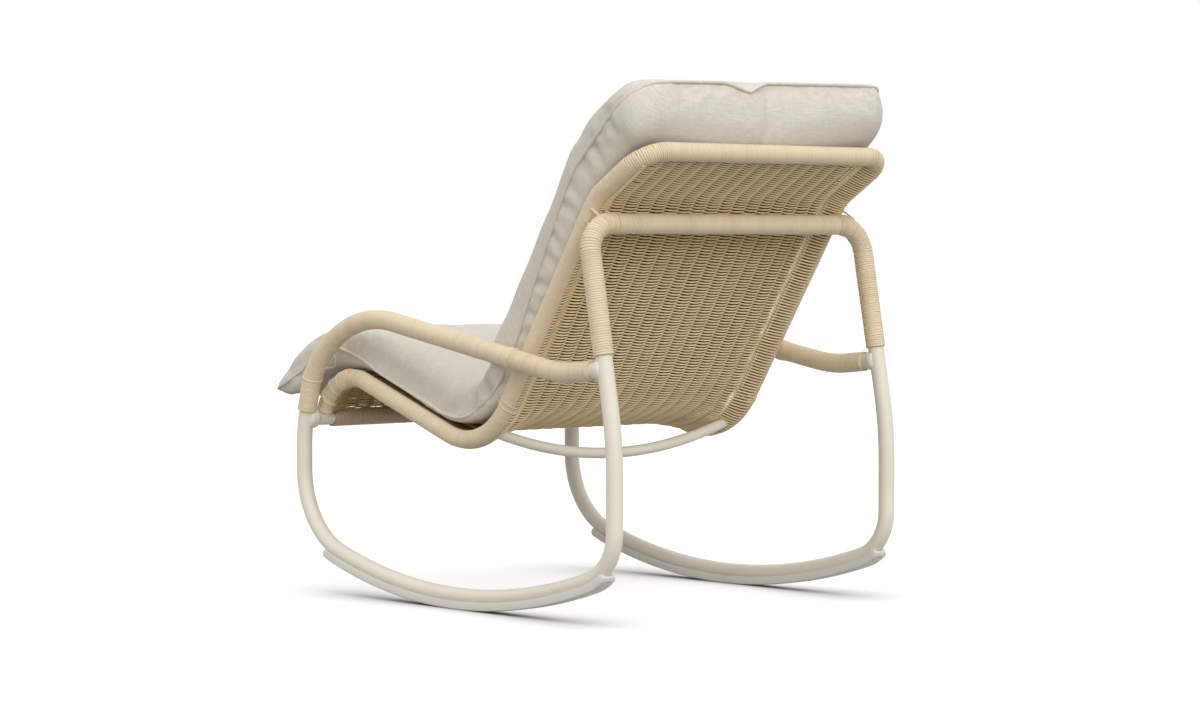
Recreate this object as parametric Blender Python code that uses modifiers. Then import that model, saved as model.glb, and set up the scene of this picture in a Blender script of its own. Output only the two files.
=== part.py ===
"""Outdoor rocking chair: bent tube hoops on rocker glides, wicker-wrapped seat frame, long cushion.

The chair faces -Y, its left side is +X, and it stands on Z = 0. Sizes are in metres.
"""
import math

import bmesh
import bpy
import numpy as np
from mathutils import Vector

for item in list(bpy.data.objects):
    bpy.data.objects.remove(item, do_unlink=True)

# Stock and fits
CLEAR = 0.0003
TUBE_D = 0.028
FRAME_D = 0.025
STRETCHER_D = 0.019
WRAP_T = 0.0026
LASH_D = 0.0020
SIDES = 10

# Side hoops: front leg, rocker, rear leg
HOOP_SPACING = 0.644
LEG_FRONT_Y = -0.360
LEG_SPREAD = 0.819
FRONT_BEND_R = 0.150
REAR_BEND_R = 0.085
ROCKER_R = 1.060
ROCKER_LOW = 0.435
ROCKER_FACETS = 11
LEG_KINK_Z = 0.300
LEG_KINK_R = 0.600
RAIL_BEND_R = 0.050
RAIL_STUB = 0.010
LEG_BARE = 0.008

# Arms, part of the same bent tube as the hoops
POST_KINK_Z = 0.290
POST_KINK_R = 0.250
POST_LEAN = math.radians(14.0)
SHOULDER_Z = 0.406
SHOULDER_R = 0.145
ARM_CORNER_BEHIND = 0.1536
ARM_CORNER_Z = 0.5012
ARM_BEND_R = 0.225
ARM_DIP_AHEAD = 0.129
ARM_DIP_Z = 0.4065
ARM_DIP_R = 0.250
ARM_END_Z = 0.4165
ARM_BARE = 0.016
POST_BARE = 0.002

# Seat frame, from the front rail over the seat and up the back
RAIL_INSET = 0.010
FRONT_RAIL_Z = 0.3065
RISE_LENGTH = 0.106
RISE_LEAN = math.radians(15.0)
RISE_BEND_R = 0.090
SEAT_LENGTH = 0.4465
SEAT_SLOPE = math.radians(19.8)
SEAT_BEND_R = 0.130
BACK_LENGTH = 0.520
BACK_LEAN = math.radians(32.6)
HEAD_LENGTH = 0.134
HEAD_LEAN = math.radians(57.5)
HEAD_BEND_R = 0.080
TOP_BEND_R = 0.050
RAIL_BELOW_KINK = 0.0286

# Stretcher under the seat
STRETCHER_BEHIND = 0.013
STRETCHER_BOW = 0.050

# Woven panel
PANEL_T = 0.005
PANEL_PULL = 0.022
PANEL_PULL_REACH = 0.150

# Lashings
LASH_TURNS = 4
LASH_PITCH = 0.0027
RAIL_LASH_PITCH = 0.0046
LASH_POINTS = 16
RING_D = 0.0026
RING_POINTS = 20

# Rocker glides and their screws
GLIDE_T = 0.0075
GLIDE_W = 0.031
GLIDE_RIM = 0.0070
GLIDE_FRONT = 0.072
GLIDE_REAR = 0.020
SCREW_INSET = 0.016
SCREW_HEAD_D = 0.0080
SCREW_SHANK_D = 0.0040
SCREW_HEAD_T = 0.0026
SCREW_SINK = 0.0010
SCREW_BITE = 0.0060

# Cushion
CUSHION_W = 0.584
CUSHION_T = 0.072
CUSHION_BACK_SWELL = 0.016
CUSHION_CROWN = 0.006
CUSHION_SAG = 0.016
CUSHION_ROLL_R = 0.024
CUSHION_EDGE_R = 0.018
CUSHION_CORNER_R = 0.036
CUSHION_DRAW_IN = 0.008
EDGE_STEPS = 4
CUSHION_STEP = 0.050
CUSHION_FOLD_AHEAD = 0.026
CUSHION_DROOP = math.radians(36.5)
CUSHION_DROOP_LENGTH = 0.214
CUSHION_DROOP_R = 0.285
CUSHION_TIP_REACH = 0.130
CUSHION_TIP_FALL = 0.010
CUSHION_TIP_LIFT = 0.024
CUSHION_SEAT_R = 0.125
CUSHION_HEAD_LEAN = math.radians(50.0)
CUSHION_HEAD_LENGTH = 0.203
CUSHION_HEAD_R = 0.140
SEAM_TIP = 0.0
SEAM_FRONT = 0.013
SEAM_SEAT = -0.025
SEAM_BACK = 0.012
SEAM_TOP = 0.033
SEAM_EASE = 0.130
PIPING_D = 0.006
PIPING_GAP = 0.0007
TIE_AT = 0.2005
TIE_D = 0.004
TIE_LOOP_R = 0.013
TIE_DROP = 0.0193
TIE_TAIL = 0.034
TIE_DROOP = 0.010

# Angle between the stations of a bend, and least distance between stations
BEND_STEP = math.radians(12.5)
SHORTEST_STEP = 0.002

HOOP_X = HOOP_SPACING / 2
TUBE_R = TUBE_D / 2
FRAME_R = FRAME_D / 2
STRETCHER_R = STRETCHER_D / 2
ROUNDING = math.cos(math.pi / SIDES)


def sleeve_inner(radius):
    """Inner corner radius of a sleeve whose flats clear a tube of this radius."""
    return (radius + CLEAR) / ROUNDING


TUBE_WRAP_R = sleeve_inner(TUBE_R) + WRAP_T
FRAME_WRAP_R = sleeve_inner(FRAME_R) + WRAP_T
LASH_R = (TUBE_WRAP_R + CLEAR + LASH_D / 2) / math.cos(math.pi / LASH_POINTS)
LASH_OUT_R = LASH_R + LASH_D / 2
LASHED = LASH_OUT_R + CLEAR + FRAME_WRAP_R
FRAME_X = HOOP_X - LASHED


def new_collection(name):
    found = bpy.data.collections.new(name)
    bpy.context.scene.collection.children.link(found)
    return found


PARTS = new_collection("rocking_chair")
CUTTERS = new_collection("cutters")


def empty(name):
    found = bpy.data.objects.new(name, None)
    PARTS.objects.link(found)
    return found


CHAIR = empty("chair_origin")
LIFT = empty("cushion_origin")
LIFT.parent = CHAIR


def material(name, colour, roughness, metallic=0.0):
    made = bpy.data.materials.new(name)
    made.use_nodes = True
    shader = made.node_tree.nodes["Principled BSDF"]
    shader.inputs["Base Color"].default_value = (*colour, 1.0)
    shader.inputs["Roughness"].default_value = roughness
    shader.inputs["Metallic"].default_value = metallic
    return made


IVORY = material("ivory_coat", (0.70, 0.67, 0.60), 0.45)
WICKER = material("wicker", (0.60, 0.47, 0.30), 0.60)
GLIDE = material("glide_plastic", (0.72, 0.72, 0.70), 0.40)
STEEL = material("screw_steel", (0.60, 0.60, 0.58), 0.35, 1.0)
LINEN = material("linen", (0.58, 0.55, 0.49), 0.90)
TRIM = material("trim", (0.62, 0.59, 0.53), 0.85)


# Path geometry

def flat(points, x):
    """Points of the YZ plane, as 3-D points at one X."""
    return [Vector((x, p[0], p[1])) for p in points]


def bent(corners, radii):
    """Line through corners with each inner corner rounded to its radius."""
    path = [corners[0].copy()]
    for before, corner, after, radius in zip(corners, corners[1:], corners[2:], radii):
        back = (before - corner).normalized()
        ahead = (after - corner).normalized()
        turn = math.pi - back.angle(ahead)
        steps = max(2, math.ceil(turn / BEND_STEP))
        reach = radius * math.tan(turn / 2)
        centre = corner + (back + ahead).normalized() * (radius / math.cos(turn / 2))
        start = corner + back * reach - centre
        side = -back
        for k in range(steps + 1):
            angle = turn * k / steps
            path.append(centre + start * math.cos(angle) + side * radius * math.sin(angle))
    path.append(corners[-1].copy())
    return path


def lengths(path):
    """Distance along the path at each of its points."""
    run = [0.0]
    for a, b in zip(path, path[1:]):
        run.append(run[-1] + (b - a).length)
    return run


def point_at(path, along):
    run = lengths(path)
    for a, b, low, high in zip(path, path[1:], run, run[1:]):
        if along <= high:
            return a.lerp(b, (along - low) / (high - low))
    return path[-1].copy()


def trimmed(path, start, end):
    """The stretch of the path between two distances along it."""
    run = lengths(path)
    kept = [p.copy() for p, s in zip(path, run) if start + 1e-6 < s < end - 1e-6]
    return [point_at(path, start)] + kept + [point_at(path, end)]


def reach_of(path, test):
    """Distance along the path where a growing or falling value first changes sign."""
    run = lengths(path)
    for a, b, low, high in zip(path, path[1:], run, run[1:]):
        va = test(a)
        vb = test(b)
        if va == 0.0 or va * vb < 0.0:
            return low + (high - low) * va / (va - vb)
    return run[-1]


def mirrored(path):
    return [Vector((-p.x, p.y, p.z)) for p in path]


def eased(share):
    share = min(max(share, 0.0), 1.0)
    return share * share * (3 - 2 * share)


def rounded_half(half, radius, inset):
    """Half width of an outline with rounded corners, this far in from its end."""
    if inset >= radius:
        return half
    return half - radius + math.sqrt(max(radius ** 2 - (radius - inset) ** 2, 0.0))


def stations(path, longest, end_insets):
    """Distances along a path: its own points, the insets from both ends, and steps in long runs."""
    run = lengths(path)
    marks = sorted(run + end_insets + [run[-1] - inset for inset in end_insets])
    kept = [0.0]
    for mark in marks:
        if mark - kept[-1] > SHORTEST_STEP:
            gap = mark - kept[-1]
            pieces = math.ceil(gap / longest)
            start = kept[-1]
            kept += [start + gap * (k + 1) / pieces for k in range(pieces)]
    kept[-1] = run[-1]
    return kept


def nearest_along(path, corner):
    """Distance along a path of the point nearest to a corner that its bend cuts off."""
    return min(stations(path, 0.01, []), key=lambda s: (point_at(path, s) - corner).length)


def up_at(path, along):
    """Unit normal of a YZ path towards the sitter's side."""
    ends = lengths(path)[-1]
    ahead = point_at(path, min(along + 0.004, ends))
    behind = point_at(path, max(along - 0.004, 0.0))
    way = (ahead - behind).normalized()
    return Vector((0.0, -way.z, way.y))


# Object makers

def add(name, mesh, look, parent, smooth_angle=40.0):
    obj = bpy.data.objects.new(name, mesh)
    PARTS.objects.link(obj)
    obj.parent = parent
    mesh.materials.clear()
    mesh.materials.append(look)
    mesh.shade_smooth()
    mesh.set_sharp_from_angle(angle=math.radians(smooth_angle))
    return obj


def curve_object(name, path, radius, caps, cyclic=False, resolution=SIDES // 2 - 2):
    data = bpy.data.curves.new(name, "CURVE")
    data.dimensions = "3D"
    data.bevel_depth = radius
    data.bevel_resolution = resolution
    data.use_fill_caps = caps
    spline = data.splines.new("POLY")
    spline.points.add(len(path) - 1)
    for place, p in zip(spline.points, path):
        place.co = (*p, 1.0)
    spline.use_cyclic_u = cyclic
    obj = bpy.data.objects.new(name, data)
    bpy.context.scene.collection.objects.link(obj)
    return obj


def curve_mesh(name, path, radius, caps=True):
    """A round tube as a closed mesh, or as an open skin without caps."""
    obj = curve_object(name, path, radius, caps)
    bpy.context.view_layer.update()
    mesh = bpy.data.meshes.new_from_object(obj.evaluated_get(bpy.context.evaluated_depsgraph_get()))
    bpy.data.objects.remove(obj, do_unlink=True)
    bm = bmesh.new()
    bm.from_mesh(mesh)
    bmesh.ops.remove_doubles(bm, verts=bm.verts, dist=1e-5)
    bmesh.ops.recalc_face_normals(bm, faces=bm.faces)
    bm.to_mesh(mesh)
    bm.free()
    mesh.name = name
    return mesh


def cord(name, path, diameter, look, parent, cyclic=False, resolution=1):
    obj = curve_object(name, path, diameter / 2, not cyclic, cyclic, resolution)
    bpy.context.scene.collection.objects.unlink(obj)
    PARTS.objects.link(obj)
    obj.parent = parent
    obj.data.materials.append(look)
    return obj


def tube(name, path, radius, look, parent=CHAIR):
    return add(name, curve_mesh(name, path, radius), look, parent)


def wrap(name, path, radius, parent=CHAIR):
    """Wicker sleeve around a tube of this radius."""
    obj = add(name, curve_mesh(name, path, sleeve_inner(radius), caps=False), WICKER, parent)
    shell = obj.modifiers.new("wall", "SOLIDIFY")
    shell.thickness = WRAP_T
    shell.offset = 1.0
    shell.use_even_offset = True
    return obj


def loft(name, rings, look, parent):
    """Closed body through rings of equal count, with its two ends filled."""
    bm = bmesh.new()
    rows = [[bm.verts.new(p) for p in ring] for ring in rings]
    for row, after in zip(rows, rows[1:]):
        for k in range(len(row)):
            n = (k + 1) % len(row)
            bm.faces.new((row[k], row[n], after[n], after[k]))
    bm.faces.new(list(reversed(rows[0])))
    bm.faces.new(rows[-1])
    bmesh.ops.recalc_face_normals(bm, faces=bm.faces)
    mesh = bpy.data.meshes.new(name)
    bm.to_mesh(mesh)
    bm.free()
    return add(name, mesh, look, parent)


def cutter(name, mesh):
    obj = bpy.data.objects.new(name, mesh)
    CUTTERS.objects.link(obj)
    obj.parent = CHAIR
    obj.hide_render = True
    obj.display_type = "WIRE"
    return obj


def combine(obj, other, operation):
    step = obj.modifiers.new(operation.lower(), "BOOLEAN")
    step.operation = operation
    step.object = other
    step.solver = "EXACT"


def cut_by_tube(obj, name, path, radius):
    """Cope a piece around a tube, leaving the named clearance."""
    combine(obj, cutter(name, curve_mesh(name, path, sleeve_inner(radius))), "DIFFERENCE")


def circle(centre, axis, radius, count):
    across = axis.orthogonal().normalized()
    other = axis.cross(across).normalized()
    angles = [2 * math.pi * k / count for k in range(count)]
    return [centre + (across * math.cos(a) + other * math.sin(a)) * radius for a in angles]


def coil(path, normal, radius, pitch, turns, count):
    """Helix that winds along a path lying in a plane with this normal, centred on the path's middle."""
    middle = lengths(path)[-1] / 2
    points = []
    for k in range(turns * count + 1):
        share = k / count
        along = middle + (share - turns / 2) * pitch
        here = point_at(path, along)
        heading = (point_at(path, along + pitch) - point_at(path, along - pitch)).normalized()
        angle = 2 * math.pi * share
        points.append(here + (normal * math.cos(angle) + heading.cross(normal) * math.sin(angle)) * radius)
    return points


def least_gap(points, diameter, skip):
    """Least clear distance of a winding to itself, between points on different turns."""
    co = np.array([tuple(p) for p in points])
    least = 1.0
    for k in range(len(co) - skip):
        near = np.sqrt(((co[k + skip:] - co[k]) ** 2).sum(axis=1)).min()
        least = min(least, near)
    return least - diameter


# Seat frame outline in the YZ plane

LEG_REAR_Y = LEG_FRONT_Y + LEG_SPREAD
FRONT_RAIL_Y = LEG_FRONT_Y + RAIL_INSET


def step_from(start, length, angle):
    """A point at this length, at this angle above +Y."""
    return Vector((start[0] + length * math.cos(angle), start[1] + length * math.sin(angle)))


RAIL_POINT = Vector((FRONT_RAIL_Y, FRONT_RAIL_Z))
RISE_TOP = step_from(RAIL_POINT, RISE_LENGTH, math.pi / 2 - RISE_LEAN)
SEAT_LOW = step_from(RISE_TOP, SEAT_LENGTH, -SEAT_SLOPE)
BACK_KINK = step_from(SEAT_LOW, BACK_LENGTH, math.pi / 2 - BACK_LEAN)
HEAD_TOP = step_from(BACK_KINK, HEAD_LENGTH, math.pi / 2 - HEAD_LEAN)
BACK_WAY = (BACK_KINK - SEAT_LOW).normalized()
BACK_REAR = Vector((BACK_WAY.y, -BACK_WAY.x))
CROSS_RAIL = BACK_KINK - BACK_WAY * RAIL_BELOW_KINK + BACK_REAR * LASHED

side_corners = flat([RAIL_POINT, RISE_TOP, SEAT_LOW, BACK_KINK, HEAD_TOP], FRAME_X)
side_radii = [RISE_BEND_R, SEAT_BEND_R, HEAD_BEND_R]
side_path = bent(side_corners, side_radii)
frame_corners = side_corners + mirrored(reversed(side_corners))
frame_radii = side_radii + [TOP_BEND_R, TOP_BEND_R] + list(reversed(side_radii))
frame_path = bent(frame_corners, frame_radii)

# Hoop outline in the YZ plane: arm, post, front leg, rocker, rear leg

LOW_Z = GLIDE_T + CLEAR + TUBE_R
ROCKER_Y = LEG_FRONT_Y + ROCKER_LOW


def rocker_blend(leg_y, radius, inward):
    """Centre of the bend between a leg line and the rocker, and its angle about the rocker's centre."""
    y = leg_y + inward * radius
    span = ROCKER_R - radius
    angle = math.asin((y - ROCKER_Y) / span)
    return Vector((y, LOW_Z + ROCKER_R - span * math.cos(angle))), angle


front_bend, front_angle = rocker_blend(LEG_FRONT_Y, FRONT_BEND_R, 1.0)
rear_bend, rear_angle = rocker_blend(LEG_REAR_Y, REAR_BEND_R, -1.0)
facet = (rear_angle - front_angle) / ROCKER_FACETS


def arc_points(centre, radius, first, last):
    """Points of an arc; angles are measured from straight down towards +Y."""
    steps = max(2, math.ceil(abs(last - first) / BEND_STEP))
    points = []
    for k in range(steps + 1):
        angle = first + (last - first) * k / steps
        points.append(Vector((centre[0] + radius * math.sin(angle), centre[1] - radius * math.cos(angle))))
    return points


def rocker_points():
    """Rocker stations, set so that one flat lies level under the middle."""
    centre = Vector((ROCKER_Y, LOW_Z + ROCKER_R))
    outer = ROCKER_R / math.cos(facet / 2)
    ahead = [-(k + 0.5) * facet for k in range(ROCKER_FACETS) if -(k + 0.7) * facet > front_angle]
    behind = [(k + 0.5) * facet for k in range(ROCKER_FACETS) if (k + 0.7) * facet < rear_angle]
    return [
        Vector((centre[0] + outer * math.sin(a), centre[1] - outer * math.cos(a)))
        for a in list(reversed(ahead)) + behind
    ]


foot_outline = (
    arc_points(front_bend, FRONT_BEND_R, -math.pi / 2, front_angle)
    + rocker_points()
    + arc_points(rear_bend, REAR_BEND_R, rear_angle, math.pi / 2)
)
ARM_DIP = Vector((LEG_REAR_Y - ARM_DIP_AHEAD, ARM_DIP_Z))
LEG_KINK = Vector((LEG_REAR_Y, LEG_KINK_Z))
LEAN = (CROSS_RAIL - LEG_KINK) / (CROSS_RAIL.y - LEG_KINK.y)
ARM_END = LEG_KINK + LEAN * (ARM_END_Z - LEG_KINK_Z)
arm_way = (ARM_END - ARM_DIP).normalized()
arm_stop = ARM_END - arm_way * (TUBE_R + CLEAR)

arm_corner = (LEG_FRONT_Y + ARM_CORNER_BEHIND, ARM_CORNER_Z)
post_kink = (LEG_FRONT_Y, POST_KINK_Z)
shoulder = (LEG_FRONT_Y + (SHOULDER_Z - POST_KINK_Z) * math.tan(POST_LEAN), SHOULDER_Z)
arm_corners = flat([arm_stop, ARM_DIP, arm_corner, shoulder, post_kink, foot_outline[0]], HOOP_X)
leg_corners = flat([foot_outline[-1], LEG_KINK, CROSS_RAIL], HOOP_X)
leg_corners.append(Vector((HOOP_X - RAIL_BEND_R - RAIL_STUB, *CROSS_RAIL)))
hoop_path = (
    bent(arm_corners, [ARM_DIP_R, ARM_BEND_R, SHOULDER_R, POST_KINK_R])[:-1]
    + flat(foot_outline, HOOP_X)
    + bent(leg_corners, [LEG_KINK_R, RAIL_BEND_R])[1:]
)
hoop_run = lengths(hoop_path)
post_wrap_at = reach_of(hoop_path, lambda p: p.z - FRONT_RAIL_Z - FRAME_R - POST_BARE)
leg_wrap_z = ARM_END_Z + TUBE_R + LEG_BARE
leg_wrap_at = hoop_run[-1] - reach_of(list(reversed(hoop_path)), lambda p: p.z - leg_wrap_z)
arm_wrap_path = trimmed(hoop_path, ARM_BARE, post_wrap_at)
leg_wrap_path = trimmed(hoop_path, leg_wrap_at, hoop_run[-1] - CLEAR)
sides = (("left", 1.0), ("right", -1.0))


def on_side(path, sign):
    return path if sign > 0 else mirrored(path)


# Glides follow the underside of the rocker

foot_run = reach_of(hoop_path, lambda p: p.z - FRONT_RAIL_Z)
foot_path = trimmed(hoop_path, foot_run, leg_wrap_at)
glide_path = trimmed(
    foot_path,
    reach_of(foot_path, lambda p: p.y - LEG_FRONT_Y - GLIDE_FRONT),
    reach_of(foot_path, lambda p: p.y - LEG_REAR_Y + GLIDE_REAR),
)


def glide_section():
    """Half-round cradle above a flat sole, as points across and away from the tube."""
    inner = sleeve_inner(TUBE_R)
    sole = TUBE_R + CLEAR + GLIDE_T
    rim = TUBE_R + CLEAR - GLIDE_RIM
    spread = math.acos(rim / inner)
    soft = GLIDE_T / 3
    cradle = []
    for k in range(7):
        angle = -spread + 2 * spread * k / 6
        cradle.append((inner * math.sin(angle), inner * math.cos(angle)))
    half = max(GLIDE_W / 2, cradle[-1][0] + GLIDE_T / 5)
    right = [(half, rim), (half, sole - soft), (half - soft, sole)]
    left = [(-x, away) for x, away in reversed(right)]
    return cradle + right + left


def across_path(path, k):
    """Outward normal of a planar YZ path at one of its points, lengthened for the mitre."""
    first = max(k - 1, 0)
    last = min(k, len(path) - 2)
    before = (path[first + 1] - path[first]).normalized()
    after = (path[last + 1] - path[last]).normalized()
    way = (before + after).normalized()
    normal = Vector((0.0, way.z, -way.y))
    return normal / way.dot(after)


def glide(name, path):
    section = glide_section()
    rings = []
    for k, p in enumerate(path):
        down = across_path(path, k)
        rings.append([p + Vector((x, 0.0, 0.0)) + down * away for x, away in section])
    return loft(name, rings, GLIDE, CHAIR)


def screw_places(path):
    """Sole points and inward axes of the screws near the two ends of a glide."""
    whole = lengths(path)[-1]
    found = []
    for along in (SCREW_INSET, whole - SCREW_INSET):
        here = point_at(path, along)
        way = (point_at(path, along + 0.001) - point_at(path, along - 0.001)).normalized()
        down = Vector((0.0, way.z, -way.y))
        found.append((here + down * (TUBE_R + CLEAR + GLIDE_T), -down))
    return found


def screw_rings(start, axis, gap, sink, bite):
    """Countersunk screw outline, or the hole for it when a gap is given."""
    head = SCREW_HEAD_D / 2 + gap
    shank = SCREW_SHANK_D / 2 + gap
    steps = [(sink, head), (sink + SCREW_HEAD_T, shank), (bite, shank)]
    return [circle(start + axis * along, axis, radius, 12) for along, radius in steps]


# Build: hoops with their welded arms, glides and screws

for side, sign in sides:
    path = on_side(hoop_path, sign)
    hoop = tube("hoop_" + side, path, TUBE_R, IVORY)
    neck_start = Vector((sign * HOOP_X, *(arm_stop - arm_way * ARM_BARE / 2)))
    neck_end = Vector((sign * HOOP_X, *ARM_END))
    neck = curve_mesh("neck_" + side, [neck_start, neck_end], TUBE_R + CLEAR)
    combine(hoop, cutter("neck_" + side, neck), "UNION")
    runner = glide("glide_" + side, on_side(glide_path, sign))
    for place, (start, axis) in zip(("front", "rear"), screw_places(on_side(glide_path, sign))):
        depth = GLIDE_T + CLEAR + SCREW_BITE
        rings = screw_rings(start, axis, 0.0, SCREW_SINK, depth - CLEAR)
        loft("screw_" + place + "_" + side, rings, STEEL, CHAIR)
        mouth = circle(start - axis * GLIDE_T, axis, SCREW_HEAD_D / 2 + CLEAR, 12)
        hole_rings = [mouth] + screw_rings(start, axis, CLEAR, SCREW_SINK, depth)
        hole = loft("hole_" + place + "_" + side, hole_rings, STEEL, CHAIR)
        PARTS.objects.unlink(hole)
        CUTTERS.objects.link(hole)
        hole.hide_render = True
        hole.display_type = "WIRE"
        combine(runner, hole, "DIFFERENCE")
        combine(hoop, hole, "DIFFERENCE")

rail_half = HOOP_X - RAIL_BEND_R - RAIL_STUB - CLEAR
rail_line = flat([CROSS_RAIL], -rail_half) + flat([CROSS_RAIL], rail_half)
tube("cross_rail", rail_line, TUBE_R, IVORY)

# Build: seat frame, front rail, stretcher

front_line = flat([RAIL_POINT], -HOOP_X) + flat([RAIL_POINT], HOOP_X)
front_rail = tube("front_rail", front_line, FRAME_R, IVORY)
cope_path = trimmed(hoop_path, foot_run - FRAME_D, leg_wrap_at)
for side, sign in sides:
    cut_by_tube(front_rail, "leg_cope_" + side, on_side(cope_path, sign), TUBE_R)

seat_frame = tube("seat_frame", frame_path, FRAME_R, IVORY)
cut_by_tube(seat_frame, "rail_cope", front_line, FRAME_R)

stretcher_y = SEAT_LOW.x + STRETCHER_BEHIND
weld = point_at(side_path, reach_of(side_path, lambda p: p.y - stretcher_y))
bow_r = (FRAME_X ** 2 + STRETCHER_BOW ** 2) / (2 * STRETCHER_BOW)
bow_half = math.asin(FRAME_X / bow_r)
stretcher_path = []
for k in range(13):
    angle = bow_half * (k / 6 - 1)
    rise = bow_r * (1 - math.cos(angle)) - STRETCHER_BOW
    stretcher_path.append(Vector((bow_r * math.sin(angle), stretcher_y, weld.z + rise)))
stretcher = tube("stretcher", stretcher_path, STRETCHER_R, IVORY)
for side, sign in sides:
    cut_by_tube(stretcher, "frame_cope_" + side, on_side(side_path, sign), FRAME_WRAP_R)

# Build: wicker wraps, end rings and lashings

frame_run = lengths(frame_path)[-1]
wrap_start = FRAME_R + 2 * CLEAR
wrap("frame_wrap", trimmed(frame_path, wrap_start, frame_run - wrap_start), FRAME_R)
wrap_half = FRAME_X - FRAME_WRAP_R - CLEAR
wrap("front_wrap", flat([RAIL_POINT], -wrap_half) + flat([RAIL_POINT], wrap_half), FRAME_R)
wrap("rail_wrap", rail_line, TUBE_R)

cross_at = reach_of(arm_wrap_path, lambda p: (Vector((p.y, p.z)) - SEAT_LOW).cross(BACK_WAY))
rail_lash_at = reach_of(hoop_path, lambda p: p.x - FRAME_X)
across = Vector((1.0, 0.0, 0.0))
leg_normal = across.cross(Vector((0.0, *LEAN))).normalized()


def lashing(name, path, at, normal, pitch):
    """Winding around a wrapped tube at a distance along its path, on both sides of the chair."""
    reach = (LASH_TURNS + 2) * pitch / 2
    turns = coil(trimmed(path, at - reach, at + reach), normal, LASH_R, pitch, LASH_TURNS, LASH_POINTS)
    for side, sign in sides:
        cord(name + side, on_side(turns, sign), LASH_D, WICKER, CHAIR)
    gap = least_gap(turns, LASH_D, LASH_POINTS - 4)
    print(name, "least gap to itself, mm:", round(gap * 1000, 2))


lashing("lash_arm_", arm_wrap_path, cross_at, across, LASH_PITCH)
lashing("lash_rail_", hoop_path, rail_lash_at, leg_normal, RAIL_LASH_PITCH)
for side, sign in sides:
    wrap("arm_wrap_" + side, on_side(arm_wrap_path, sign), TUBE_R)
    wrap("leg_wrap_" + side, on_side(leg_wrap_path, sign), TUBE_R)
    arm_axis = Vector((0.0, *arm_way))
    ring_at = on_side(arm_wrap_path, sign)[0] + arm_axis * (RING_D / 2 + CLEAR)
    ring_r = (TUBE_R + CLEAR + RING_D / 2) / math.cos(math.pi / RING_POINTS)
    ring = circle(ring_at, arm_axis, ring_r, RING_POINTS)
    cord("arm_ring_" + side, ring, RING_D, WICKER, CHAIR, cyclic=True)

# Build: woven panel, hung between the wrapped side tubes

panel_edge = FRAME_WRAP_R + CLEAR
panel_half = FRAME_X - panel_edge
side_run = lengths(side_path)[-1]
panel_path = trimmed([Vector((0.0, p.y, p.z)) for p in side_path], panel_edge, side_run - panel_edge)
panel_run = lengths(panel_path)[-1]
panel_corner_r = max(TOP_BEND_R - panel_edge, CLEAR)
bend_mark = nearest_along(panel_path, Vector((0.0, *SEAT_LOW)))


def panel_point(along, share):
    """Point of the weave; away from the side tubes it is drawn across the rear bend of the seat."""
    half = rounded_half(panel_half, panel_corner_r, panel_run - along)
    pull = PANEL_PULL * eased(1 - abs(along - bend_mark) / PANEL_PULL_REACH) * eased((1 - abs(share)) / 0.4)
    return point_at(panel_path, along) + up_at(panel_path, along) * pull + Vector((half * share, 0.0, 0.0))


corner_marks = [panel_corner_r * k for k in (0.1, 0.4, 1.0)]
rows = []
panel_bm = bmesh.new()
for along in stations(panel_path, 0.055, corner_marks):
    rows.append([panel_bm.verts.new(panel_point(along, k / 4 - 1)) for k in range(9)])
for row, after in zip(rows, rows[1:]):
    for k in range(len(row) - 1):
        panel_bm.faces.new((row[k], row[k + 1], after[k + 1], after[k]))
bmesh.ops.recalc_face_normals(panel_bm, faces=panel_bm.faces)
panel_mesh = bpy.data.meshes.new("woven_panel")
panel_bm.to_mesh(panel_mesh)
panel_bm.free()
panel = add("woven_panel", panel_mesh, WICKER, CHAIR)
panel_wall = panel.modifiers.new("wall", "SOLIDIFY")
panel_wall.thickness = PANEL_T
panel_wall.offset = 0.0
cut_by_tube(panel, "stretcher_notch", stretcher_path, STRETCHER_R)

# Build: cushion, its edges level with the wrapped tubes and its middle resting on the weave

raise_by = FRAME_WRAP_R + CLEAR + CUSHION_T / 2
seat_way = (SEAT_LOW - RISE_TOP).normalized()
seat_up = Vector((-seat_way.y, seat_way.x))
seat_line = RISE_TOP + seat_up * raise_by
back_line = BACK_KINK - BACK_REAR * raise_by
fold = seat_line - seat_way * CUSHION_FOLD_AHEAD
share = (back_line - seat_line).cross(BACK_WAY) / seat_way.cross(BACK_WAY)
elbow = seat_line + seat_way * share
tip = fold - Vector((math.cos(CUSHION_DROOP), math.sin(CUSHION_DROOP))) * CUSHION_DROOP_LENGTH
crest = back_line + Vector((math.sin(CUSHION_HEAD_LEAN), math.cos(CUSHION_HEAD_LEAN))) * CUSHION_HEAD_LENGTH
cushion_path = bent(
    flat([tip, fold, elbow, back_line, crest], 0.0), [CUSHION_DROOP_R, CUSHION_SEAT_R, CUSHION_HEAD_R]
)
cushion_run = lengths(cushion_path)[-1]
fold_at = nearest_along(cushion_path, Vector((0.0, *fold)))
elbow_at = nearest_along(cushion_path, Vector((0.0, *elbow)))
weave_line = np.array([tuple(panel_point(s, 0.0)) for s in stations(panel_path, SHORTEST_STEP, [])])


def on_cushion(along, x, height):
    """Point along the cushion, across it and above its middle line, also just beyond its ends."""
    kept = min(max(along, 0.0), cushion_run)
    up = up_at(cushion_path, kept)
    ahead = Vector((0.0, up.z, -up.y))
    return point_at(cushion_path, kept) + ahead * (along - kept) + up * height + Vector((x, 0.0, 0.0))


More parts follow.
